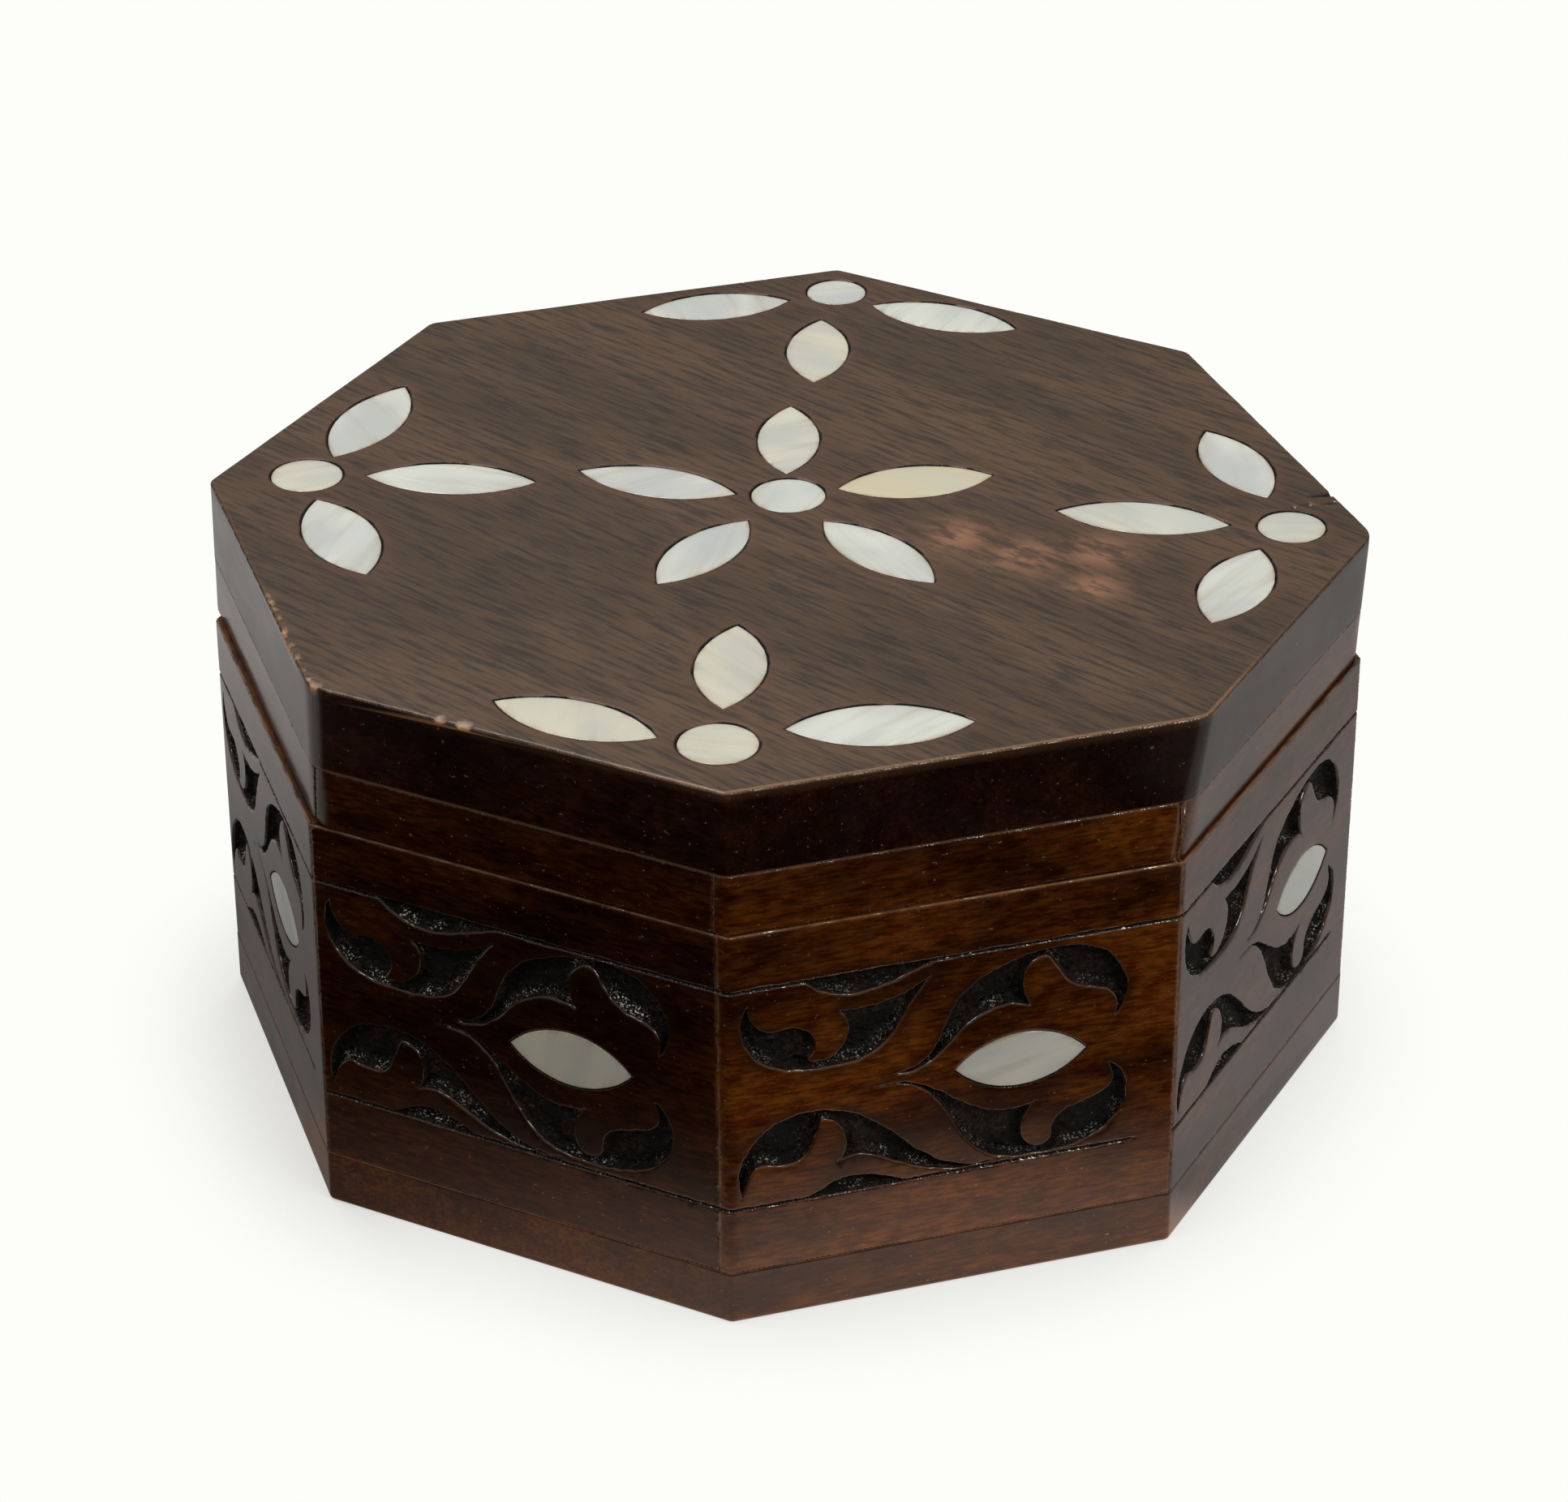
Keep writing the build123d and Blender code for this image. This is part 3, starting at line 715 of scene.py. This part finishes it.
def fade_wear(bm, way):
    """Keeps an edge's wear from running on over the flat faces behind it that look along way."""
    bm.normal_update()
    flat_faces = [face for face in bm.faces if not face.smooth and face.normal.dot(way) > 0.99]
    bmesh.ops.inset_region(
        bm, faces=flat_faces, thickness=0.2 * MM, use_even_offset=False, use_boundary=True
    )
    set_layer(bm, "wear", 0.0, [vert for face in flat_faces for vert in face.verts])


def only_inside(points, loop, margin):
    return points[inside_distance(points, loop, 2 * margin) > margin]


def mark_sharp(bm):
    """Shades the faces that came from the CAD shape smoothly up to their sharp edges."""
    cad_faces = {face for face in bm.faces if not face.smooth}
    for face in cad_faces:
        face.smooth = True
    for edge in bm.edges:
        if len(edge.link_faces) == 2 and any(face in cad_faces for face in edge.link_faces):
            edge.smooth = edge.calc_face_angle(0.0) < CORNER


def second_material(bm, name, least):
    """Gives the second material to the faces on which a layer's mean is over least."""
    layer = bm.verts.layers.float[name]
    for face in bm.faces:
        if sum(vert[layer] for vert in face.verts) > least * len(face.verts):
            face.material_index = 1


def uneven(points, depth, length, seed):
    """A depth that wanders between nothing and about twice its mean, over a length in millimetres."""
    return depth * (1 + perlin(points, length, seed))


# Rows of points laid along an outline, by their distance outside it, and along a scribed line, above it.
POCKET_ROWS = mm(0.24, 0.12, 0.04, 0, -0.05, -0.14, -0.24, -0.36, -0.52)
EYE_ROWS = mm(0.42, 0.22, 0.1, 0.0, -0.03)
BORDER_ROWS = mm(-0.05, -0.12, -0.22, -0.4)
RECESS_ROWS = mm(0.5, 0.26, 0.12, 0.0, -0.03)
LID_EDGE_ROWS = mm(-0.03, -0.08, -0.15, -0.25, -0.4, -0.7)
LINE_ROWS = mm(-0.42, -0.27, -0.18, -0.09, 0.0, 0.09, 0.18, 0.27, 0.42)

# How dark each side's wall and rim strip are stained. This is partly painted shade: the front-left, which
# gets least light, is darkest and the well-lit front is lightest.
WALL_STAIN_AND_SHADE = {
    "front": 0.0, "front_right": 0.25, "right": 0.2, "back_right": 0.35, "back": 0.15, "back_left": 0.3,
    "left": 0.45, "front_left": 0.8,
}
RIM_STAIN_AND_SHADE = {
    "front": 0.12, "front_right": 0.3, "right": 0.3, "back_right": 0.4, "back": 0.3, "back_left": 0.35,
    "left": 0.5, "front_left": 0.75,
}


class SideOutline:
    """The outer face of a stave or strip, from its first glue line to its second. It may lean, so it has a
    plan line at its foot and one at its head. Its flat coordinates are the distance along and the height."""

    def __init__(self, bm, out, along, foot, head):
        self.along = along
        self.levels = foot[0], head[0]
        self.lines = [self.plan_line(bm, out, foot), self.plan_line(bm, out, head)]
        self.reach = max(np.max(line[0] @ np.array(out.xy)) for line in self.lines)

    def plan_line(self, bm, out, cap):
        """The knots of the plan line round a cap, given as (where the line counts, the cap's own height)."""
        level = cap[1]
        way = Vector((0, 0, -1 if level == min(v.co.z for v in bm.verts) else 1))
        loop = boundary_loops(facing(bm, way, way.z * level))[0]
        reach = max(vert.co.dot(out) for vert in loop)
        chain = [v.co for v in loop if v.co.dot(out) > reach - 3 * MM]
        points = np.array([co.xy for co in sorted(chain, key=lambda co: co.dot(self.along))])
        way = np.diff(points, axis=0)
        way /= np.hypot(*way.T)[:, None]
        right = np.stack([way[:, 1], -way[:, 0]], 1)
        knots, normals = [], []
        for k, point in enumerate(points):
            beside = right[max(0, k - 1):k + 1].sum(0)
            knots.append(point)
            normals.append(beside / np.hypot(*beside))
            if k < len(way) and np.hypot(*(points[k + 1] - point)) > 3 * MM:
                for share in (0.008, 0.992):
                    knots.append(point + (points[k + 1] - point) * share)
                    normals.append(right[k])
        knots = np.array(knots)
        across = knots @ np.array(self.along.xy)
        return knots, np.array(normals), across

    def flat(self, verts):
        return np.array([(vert.co.dot(self.along), vert.co.z) for vert in verts])

    def place(self, flat, raised):
        """Where points of the outer face lie, raised off it along its outward direction."""
        rise = (flat[:, 1] - self.levels[0]) / (self.levels[1] - self.levels[0])
        start, end = ((1 - rise) * self.lines[0][2][k] + rise * self.lines[1][2][k] for k in (0, -1))
        share = (flat[:, 0] - start) / (end - start)
        spots = []
        for axis in (0, 1):
            sides = []
            for knots, normals, across in self.lines:
                knot_share = (across - across[0]) / (across[-1] - across[0])
                base = np.interp(share, knot_share, knots[:, axis])
                sides.append(base + np.interp(share, knot_share, normals[:, axis]) * raised)
            spots.append((1 - rise) * sides[0] + rise * sides[1])
        return np.stack(spots + [flat[:, 1]], 1)

    def gap(self, vert):
        """How far a vertex lies behind the outer face in plan."""
        spot = self.place(self.flat([vert]), np.zeros(1))[0]
        return math.hypot(vert.co.x - spot[0], vert.co.y - spot[1])

    def uncover(self, bm, low, high, depth=0.0):
        """Deletes the outer face and what is cut into it that deep."""
        gaps = {vert: self.gap(vert) for vert in bm.verts}
        doomed = []
        for face in bm.faces:
            deepest = max(gaps[v] for v in face.verts)
            heights = [v.co.z for v in face.verts]
            band = min(heights) > low + 5 * MM and max(heights) < high - 4 * MM
            if deepest < 0.05 * MM and abs(face.normal.z) < 0.5 or band and deepest < depth + 0.15 * MM:
                doomed.append(face)
        bmesh.ops.delete(bm, geom=doomed, context="FACES")


def chiselled(points, inside, seed, depth):
    """A cut's depth at points that lie so far inside it: steep knife-cut sides and a rough gouged floor."""
    turn = math.radians(35 + 110 * math.sin(seed * 1.7))
    across = points @ np.array([math.cos(turn), math.sin(turn)])
    swing = perlin(points, 1.4, seed) * 0.9
    gouges = 0.11 * MM * np.abs(np.sin(math.pi * across / (1.1 * MM) + swing))
    rough = 0.10 * MM * perlin(points, 0.42, seed + 7)
    rough += 0.045 * MM * perlin(points, 0.19, seed + 3)
    floor = depth * (0.74 + 0.26 * perlin(points, 2.6, seed + 11)) - gouges + rough
    lean = 4.2 + 1.6 * perlin(points, 2.2, seed + 5) + 1.3 * perlin(points, 0.5, seed + 6)
    sides = 0.05 * MM + inside * lean
    return np.clip(np.minimum(sides, floor), 0, depth)


def carved_wall(side):
    """A wall stave with its carving, scribed lines, eye recess and worn, slightly uneven outer face."""
    number = SIDES.index(side)
    rng = np.random.default_rng(100 + number)
    out, along = side_frame(side)
    bm = welded(f"wall_{side}")
    foot = (WALL_LOW, WALL_LOW)
    outline = SideOutline(bm, out, along, foot, (WALL_HIGH, WALL_LOW))

    def cuts(depth):
        loops = boundary_loops(facing(bm, out, outline.reach - depth))
        return [counterclockwise(outline.flat(loop)) for loop in loops]

    pockets = []
    for k, loop in enumerate(cuts(POCKET_DEPTH)):
        loop = resampled(loop, 0.2 * MM)
        shake = 0.11 * MM * perlin(loop, 1.1, number + k)
        shake += 0.05 * MM * perlin(loop, 0.35, number - k)
        pockets.append(loop + curve_normals(loop) * shake[:, None])
    eye = resampled(cuts(EYE_DEPTH)[0], 0.2 * MM)
    scribed = cuts(LINE_DEPTH)
    middle = (WALL_LOW + WALL_HIGH) / 2
    lines = []
    for upper in (True, False):
        spots = np.vstack([loop for loop in scribed if (loop[:, 1].mean() > middle) == upper])
        lines.append((spots[:, 1].mean(), spots[:, 0].min(), spots[:, 0].max()))
    outline.uncover(bm, WALL_LOW, WALL_HIGH, POCKET_DEPTH)
    relief, border = relief_over_hole(bm, outline.flat, 0.45 * MM)
    left, right = border[:, 0].min(), border[:, 0].max()
    for loop in pockets:
        relief.add_rows(loop, POCKET_ROWS, constrained=True)
        spots = grid_over(loop, 0.26 * MM, rng)
        relief.add_points(only_inside(spots, loop, 0.6 * MM))
    relief.add_rows(eye, EYE_ROWS, constrained=True)
    relief.add_rows(resampled(border, 0.5 * MM), BORDER_ROWS)
    for level, _, _ in lines:
        spots = np.arange(left + 0.3 * MM, right, 0.35 * MM)
        for offset in LINE_ROWS:
            row = np.stack([spots, np.full(len(spots), level + offset)], 1)
            relief.add_points(row + rng.uniform(-0.02, 0.02, row.shape) * MM)
    relief.add_points(grid_over(relief.rim, 0.9 * MM, rng))

    def height(flat):
        most = Highest(depth=uneven(flat, 0.014 * MM, 11, number) + uneven(flat, 0.006 * MM, 2.5, number))
        for k, loop in enumerate(pockets):
            inside = inside_distance(flat, loop, 1.3 * MM)
            within = inside > 0
            cut = np.zeros(len(flat))
            cut[within] = chiselled(flat[within], inside[within], 10 * number + k, POCKET_DEPTH)
            above = inside_distance(flat + mm(0.0, 0.1), loop, 1.3 * MM)
            ledge = smooth(above - inside, 0.0, 0.09 * MM)
            worn = 0.02 + ledge * (0.085 + 0.06 * perlin(flat, 1.2, number + 70 + k))
            lip = worn * MM * smooth(inside, -0.19 * MM, 0.0)
            # The glint layer masks painted glints on the upward-facing lower edges of the pockets, in
            # patches.
            shelf = smooth(inside, 0.02 * MM, 0.12 * MM) * (1 - smooth(inside, 0.35 * MM, 0.8 * MM))
            glint_patches = smooth(perlin(flat, 2.1, number + 90 + k), -0.25, 0.45)
            most.take(
                depth=np.maximum(cut, lip),
                carve=smooth(inside, -0.02 * MM, 0.10 * MM),
                # halo masks the painted shade round the pocket.
                halo=smooth(inside, -1.2 * MM, 0.0),
                glint=PAINTED_GLINTS.get(side, 0.5) * ledge * shelf * glint_patches,
                # Pale pocket rims: partly wear and partly painted highlight, stronger on the upward-facing
                # lower rims.
                wear=(0.03 + 0.13 * ledge) * np.exp(-((inside + 0.06 * MM) / (0.07 * MM)) ** 2),
            )
        inside = inside_distance(flat, eye, 0.6 * MM)
        most.take(depth=np.where(inside > 0, EYE_DEPTH * smooth(inside, 0, 0.03 * MM), 0))
        most.take(depth=0.07 * MM * smooth(inside, -0.22 * MM, -0.02 * MM))
        most.take(carve=0.8 * smooth(inside, -0.10 * MM, 0.0))
        x, y = flat.T
        for k, (level, start, end) in enumerate(lines):
            start = left - 1 if start < left + 3 * MM else start
            end = right + 1 if end > right - 3 * MM else end
            ends = smooth(x, start, start + 1.5 * MM) * (1 - smooth(x, end - 1.5 * MM, end))
            drift = 0.05 * MM * perlin(np.stack([x, 0 * x], 1), 5, number + k)
            width = 0.175 * MM + 0.085 * MM * perlin(flat, 1.7, number + 20 + k)
            share = np.clip(1 - (np.abs(y - level - drift) / width) ** 2, 0, 1)
            firm = 0.80 + 0.35 * perlin(flat, 6, number + 30 + k)
            groove = LINE_DEPTH * share * ends * np.clip(firm, 0.3, 1)
            most.take(depth=groove, carve=smooth(groove, 0.08 * MM, 0.25 * MM))
        edge = np.maximum(inside_distance(flat, border, 2 * MM), 0)
        radius = 0.13 * MM + 0.07 * MM * perlin(flat, 5, number + 40)
        # Pale edges: partly wear and partly painted highlight, fainter towards the foot.
        upper = 0.25 + 0.75 * smooth(y, WALL_LOW + MM, WALL_LOW + 4 * MM)
        most.take(depth=rounding(edge, radius), wear=upper * np.exp(-edge / (0.10 * MM)))
        return -most.pop("depth"), most

    relief.build(bm, outline.place, height)
    second_material(bm, "carve", 0.5)
    fade_wear(bm, UP)
    set_layer(bm, "stain", WALL_STAIN_AND_SHADE[side])
    set_grain(bm, along, UP, number + 1)
    finished(f"carved_wall_{side}", bm, [SIDE_WOOD, CARVING], f"wall_{side}")


def rim_strip(side):
    """One strip of the lid's rim, with softened edges and a slightly uneven outer face."""
    number = SIDES.index(side)
    rng = np.random.default_rng(200 + number)
    out, along = side_frame(side)
    bm = welded(f"rim_{side}")
    head = (RIM_TOP, RIM_TOP)
    foot = (SEAM, RIM_TOP) if side.startswith("back") else (SEAM, SEAM)
    outline = SideOutline(bm, out, along, foot, head)
    outline.uncover(bm, SEAM, RIM_TOP)
    relief, border = relief_over_hole(bm, outline.flat, 0.45 * MM)
    relief.add_rows(resampled(border, 0.5 * MM), BORDER_ROWS)
    relief.add_points(grid_over(border, 0.9 * MM, rng))

    def height(flat):
        depth = uneven(flat, 0.012 * MM, 9, number + 50)
        edge = np.maximum(inside_distance(flat, border, 2 * MM), 0)
        radius = 0.14 * MM + 0.07 * MM * perlin(flat, 4, number + 60)
        # Pale edge line: partly wear and partly painted highlight along the seam.
        return -np.maximum(depth, rounding(edge, radius)), {"wear": 0.6 * np.exp(-edge / (0.09 * MM))}

    relief.build(bm, outline.place, height)
    fade_wear(bm, -UP)
    mark_sharp(bm)
    set_layer(bm, "stain", RIM_STAIN_AND_SHADE[side])
    set_grain(bm, along, UP, number + 21)
    finished(f"worn_rim_{side}", bm, [SIDE_WOOD], f"rim_{side}")


INLAY_DEPTH = 1.4 * MM
LID_GRAIN = math.radians(-59)
# Where the lid's polish has gone and redder wood shows: x, y and size.
RED_PATCHES = [(13.5, -10.2, 3.4), (18.0, -16.0, 3.6), (24.8, -17.2, 3.3), (21.8, -23.6, 2.5)]
# Stretches of the lid's edge with chips: x, y and reach.
CHIPPED = [
    (-49.9, -5.0, 3.0), (-49.7, -13.0, 5.0), (-49.0, -19.5, 2.0), (-39.0, -29.5, 2.6), (47.0, 11.0, 1.5),
]
# Splits by the lid's right corner: both ends, and half the gap where it is widest.
SPLITS = [
    ((47.6, -12.6), (50.6, -12.8), 0.75), ((48.1, -14.4), (49.2, -14.5), 0.40),
    ((46.0, -14.1), (46.9, -14.2), 0.26), ((44.6, -14.3), (45.4, -14.4), 0.20),
]


def plan(verts):
    return np.array([vert.co.xy for vert in verts])


def nearness(points, x, y, reach):
    """1 at a place on the lid given in mm, fading to nothing around it."""
    return np.exp(-np.sum((points - mm(x, y)) ** 2, 1) / (reach * MM) ** 2)


def split_share(points, start, end, width):
    """How far into a split points lie, from 0 outside it to 1 in its middle. It opens toward end."""
    way = end - start
    t = np.clip((points - start) @ way / (way @ way), 0, 1)
    gap = np.hypot(*(points - start - t[:, None] * way).T)
    return 1 - smooth(gap / (width * (0.3 + 0.7 * t)), 0.45, 1.0)


def lid_board():
    """The lid's board: a hand-planed top let out for the shell, with rounded, chipped edges."""
    rng = np.random.default_rng(7)
    bm = welded("lid_board")
    recesses = []
    for loop in boundary_loops(facing(bm, UP, LID_TOP - INLAY_DEPTH)):
        recesses.append(resampled(counterclockwise(plan(loop)), 0.22 * MM))
    shoulder = LID_TOP - 0.9 * MM
    for level in (RIM_TOP + 0.15 * MM, shoulder - 0.2 * MM, shoulder):
        cut_level(bm, level)
    kept = {face for face in bm.faces if face.normal.z < -0.9}
    waiting = list(kept)
    while waiting:
        for edge in waiting.pop().edges:
            for face in edge.link_faces:
                if face not in kept and max(v.co.z for v in face.verts) < shoulder + WELD:
                    kept.add(face)
                    waiting.append(face)
    bmesh.ops.delete(bm, geom=[face for face in bm.faces if face not in kept], context="FACES")
    relief, border = relief_over_hole(bm, plan, 0.4 * MM)
    for loop in recesses:
        relief.add_rows(loop, RECESS_ROWS, constrained=True)
    relief.add_rows(resampled(border, 0.35 * MM), LID_EDGE_ROWS)
    for start, end, width in SPLITS:
        low, high = (np.array(start) - width) * MM, (np.array(end) + width) * MM
        relief.add_points(only_inside(grid_over([low, high], 0.13 * MM, rng), border, 0.1 * MM))
    relief.add_points(grid_over(border, 0.8 * MM, rng))

    def height(flat):
        most = Highest(depth=uneven(flat, 0.012 * MM, 16, 1.5) + uneven(flat, 0.004 * MM, 3, 2.5))
        for k, loop in enumerate(recesses):
            inside = inside_distance(flat, loop, 1.6 * MM)
            ragged = 0.05 * MM * perlin(flat, 0.8, k + 0.5)
            ring = smooth(inside + ragged, -0.24 * MM, -0.06 * MM)
            most.take(depth=0.06 * MM * ring, halo=smooth(inside, -1.5 * MM, -0.2 * MM))
            most.take(depth=INLAY_DEPTH * smooth(inside, 0, 0.03 * MM))
            most.take(filler=ring * smooth(perlin(flat, 2.6, k + 9), -0.45, 0.15))
        edge = np.maximum(inside_distance(flat, border, 3 * MM), 0)
        radius = 0.27 * MM + 0.09 * MM * perlin(flat, 7, 3.5)
        # The pale edge line is partly wear and partly painted highlight, made stronger along the front edges.
        front = smooth(-flat[:, 1], 38 * MM, 48 * MM)
        worn = (0.15 + 0.55 * front) * np.exp(-((edge - 0.15 * MM) / (0.12 * MM)) ** 2)
        most.take(depth=rounding(edge, radius), wear=worn)
        grit = perlin(flat, 0.75, 4.5) + 0.4 * perlin(flat, 0.3, 5.5)
        for x, y, reach in CHIPPED:
            near = smooth(nearness(flat, x, y, reach), 0.25, 0.6)
            chip = smooth(grit, 0.15, 0.35) * near * smooth(-edge, -0.75 * MM, -0.3 * MM)
            most.take(depth=most["depth"] + 0.20 * MM * chip, wear=chip)
        for start, end, width in SPLITS:
            most.take(split=split_share(flat, mm(*start), mm(*end), width * MM))
        split = most.pop("split")
        most.take(filler=split)
        for x, y, reach in RED_PATCHES:
            most.take(patch=nearness(flat, x, y, reach))
        most["side"] = 1 - smooth(edge, 0.02 * MM, 0.9 * radius)
        return -np.minimum(most.pop("depth") + 0.25 * MM * split, INLAY_DEPTH), most

    set_layer(bm, "side", 1.0)
    # A pale line at the joint with the rim, partly wear and partly painted highlight.
    set_layer(bm, "wear", 0.5, [vert for vert in bm.verts if vert.co.z < RIM_TOP + 0.05 * MM])
    relief.build(bm, lambda flat, raised: np.column_stack([flat, LID_TOP + raised]), height)
    second_material(bm, "filler", 0.75)
    mark_sharp(bm)
    set_layer(bm, "stain", 1.0)
    set_grain(bm, *level_frame(LID_GRAIN), 41)
    finished("planed_lid_board", bm, [TOP_WOOD, CARVING], "lid_board")


# A flat piece's back stays this far off the surface that its CAD solid rests on.
CLEARANCE = 0.02 * MM


def slab(node, way, across, up, height, step, offsets, shake=0.0):
    """A flat piece on a CAD node's outline, its face toward way built as a relief and its back left flat."""
    source = welded(node)
    level = max(v.co.dot(way) for v in source.verts)
    back = min(v.co.dot(way) for v in source.verts) + CLEARANCE
    loop = boundary_loops(facing(source, way, level))[0]
    outline = counterclockwise(np.array([(v.co.dot(across), v.co.dot(up)) for v in loop]))
    source.free()
    outline = resampled(outline, step)
    if shake:
        inward = shake * (0.5 + 0.5 * perlin(outline, 0.8, level))
        outline = outline - curve_normals(outline) * inward[:, None]
    axes = np.array([across, up, way])

    def place(flat, raised):
        return np.column_stack([flat, level + raised]) @ axes

    bm = new_bmesh()
    rim = [bm.verts.new(spot) for spot in place(outline, np.zeros(len(outline)))]
    relief = Relief(rim, outline)
    relief.add_rows(outline, -offsets, tolerance=0.05 * MM)
    rng = np.random.default_rng(len(outline))
    spots = grid_over(outline, 3 * step, rng)
    relief.add_points(only_inside(spots, outline, offsets[-1]))
    relief.build(bm, place, lambda flat: height(flat, inside_distance(flat, outline, 0.02)))
    foot = [bm.verts.new(spot) for spot in place(outline, np.full(len(outline), back - level))]
    for k in range(len(rim)):
        after = (k + 1) % len(rim)
        bm.faces.new((rim[k], foot[k], foot[after], rim[after]))
    bm.faces.new(foot[::-1])
    mark_sharp(bm)
    middle = outline.mean(0)
    return bm, place(np.array([middle]), np.zeros(1))[0]


# Pieces of shell that are yellower than the rest.
CREAM = {
    "shell_centre_petal_2": 1.0, "shell_centre_petal_1": 0.30, "shell_front_petal_1": 0.50,
    "shell_front_petal_2": 0.55, "shell_front_disc": 0.45, "shell_back_petal_1": 0.45,
    "shell_left_disc": 0.4, "shell_right_petal_1": 0.25, "shell_right_disc": 0.35,
    "shell_eye_front_left": 0.35,
}


def shell_piece(node, way, across, up, seed):
    """A piece of shell, filed by hand: a little domed, with worn edges and its own banding."""

    def height(flat, inside):
        inside = np.maximum(inside, 0)
        domed = 0.025 * MM + 0.06 * MM * np.exp(-inside / (0.5 * MM))
        facets = uneven(flat, 0.010 * MM, 2.2, seed)
        return -(domed + facets + rounding(inside, 0.07 * MM)), {"wear": np.exp(-inside / (0.22 * MM))}

    rows = mm(0.03, 0.07, 0.15, 0.3, 0.5)
    bm, middle = slab(node, way, across, up, height, 0.22 * MM, rows, shake=0.05 * MM)
    set_layer(bm, "cream", CREAM.get(node, 0.0))
    turn = 2.4 * seed
    along = across * math.cos(turn) + up * math.sin(turn)
    set_grain(bm, along, way.cross(along), seed + 0.5, Vector(middle))
    finished(node.replace("shell", "nacre"), bm, [SHELL], node)


def shell_pieces():
    seed = 0
    for group, count in PETALS.items():
        for part in ["disc"] + [f"petal_{k}" for k in range(1, count + 1)]:
            seed += 1
            shell_piece(f"shell_{group}_{part}", UP, RIGHT, BACK, seed)
    for side in SIDES:
        seed += 1
        out, along = side_frame(side)
        shell_piece(f"shell_eye_{side}", out, along, UP, seed)


def base_board():
    """The base board, with its top arris broken a little where the walls stand on it."""
    bm = welded("base_board")
    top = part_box("base_board")[1].z
    for level in (top - 0.12 * MM, top - 0.25 * MM, 1.2 * MM):
        cut_level(bm, level)
    for vert in bm.verts:
        if vert.co.z > top - WELD:
            out = Vector((vert.co.x, vert.co.y, 0)).normalized()
            vert.co -= out * 0.09 * MM
            # A pale line along the top arris, partly wear and partly painted highlight.
            vert[bm.verts.layers.float["wear"]] = 0.8
    mark_sharp(bm)
    set_layer(bm, "stain", 0.35)
    set_grain(bm, RIGHT, UP, 61)
    finished("worn_base_board", bm, [SIDE_WOOD], "base_board")


def pad(node, name, way, across, up, seed):
    """A velvet pad on card: soft rounded edges, a low crown and shallow dents."""
    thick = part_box(node)[1].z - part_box(node)[0].z

    def height(flat, inside):
        inside = np.maximum(inside, 0)
        crown = 0.22 * thick * np.exp(-inside / (5 * MM))
        dents = uneven(flat, 0.06 * thick, 11, seed) + uneven(flat, 0.03 * thick, 3.5, seed)
        return -(crown + dents + rounding(inside, 0.5 * thick)), {"wear": np.exp(-inside / MM)}

    rows = mm(0.04, 0.15, 0.35, 0.6, 0.9, 1.4, 2.2)
    bm, middle = slab(node, way, across, up, height, 0.6 * MM, rows)
    set_grain(bm, across, up, seed, Vector(middle))
    finished(name, bm, [VELVET], node)


def wall_lining():
    """The velvet strip round the walls: one long band, its top edge turned over the card."""
    low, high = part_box("wall_lining")
    outer = high.x
    inner = outer - 0.8 * MM
    level = high.z - low.z
    profile = [(outer, 0.0)] + [(outer, share * level) for share in (0.25, 0.5, 0.75, 0.97)]
    profile += [(outer - 0.15 * MM, level - 0.08 * MM), (0.5 * (outer + inner), level)]
    profile += [(inner + 0.15 * MM, level - 0.08 * MM), (inner + 0.02 * MM, level - 0.35 * MM)]
    profile += [(inner, level * (1 - share)) for share in np.linspace(0.04, 1.0, 30)]
    bm = new_bmesh()
    rings = []
    steps = 44
    for side in range(8):
        out, along = side_frame(SIDES[side])
        for k in range(steps):
            share = 2 * k / steps - 1
            ring = []
            for reach, height in profile:
                soft = 0.0
                if reach <= inner:
                    seam = 1 - abs(share) ** 12
                    wave = noise.noise((share * 4 + 9 * side, height / MM / 7, 1.0))
                    soft = (0.09 + 0.07 * wave) * MM * seam
                    soft += 0.10 * MM * (1 - seam)
                spot = out * (reach + soft) + along * share * reach * math.tan(math.pi / 8)
                ring.append(bm.verts.new(spot + Vector((0, 0, low.z + height))))
            rings.append(ring)
    for k, ring in enumerate(rings):
        after = rings[(k + 1) % len(rings)]
        for row in range(len(profile)):
            below = (row + 1) % len(profile)
            face = bm.faces.new((ring[row], after[row], after[below], ring[below]))
            face.smooth = True
    set_grain(bm, RIGHT, UP, 3)
    finished("velvet_wall_lining", bm, [VELVET], "wall_lining")


add_camera()
add_world()
add_floor()
add_lights()
bpy.context.scene.view_settings.view_transform = "Standard"

SIDE_WOOD = walnut_side()
CARVING = blackened()
TOP_WOOD = walnut_top()
SHELL = nacre()
BRASS = brass()
VELVET = velvet()

for node, thing in frame["nodes"].items():
    if node.startswith("hinge"):
        thing.data.materials.clear()
        thing.data.materials.append(BRASS)

for side in SIDES:
    carved_wall(side)
    rim_strip(side)
lid_board()
base_board()
shell_pieces()
pad("floor_pad", "velvet_floor_pad", UP, RIGHT, BACK, 5)
pad("lid_pad", "velvet_lid_pad", -UP, RIGHT, -BACK, 8)
wall_lining()
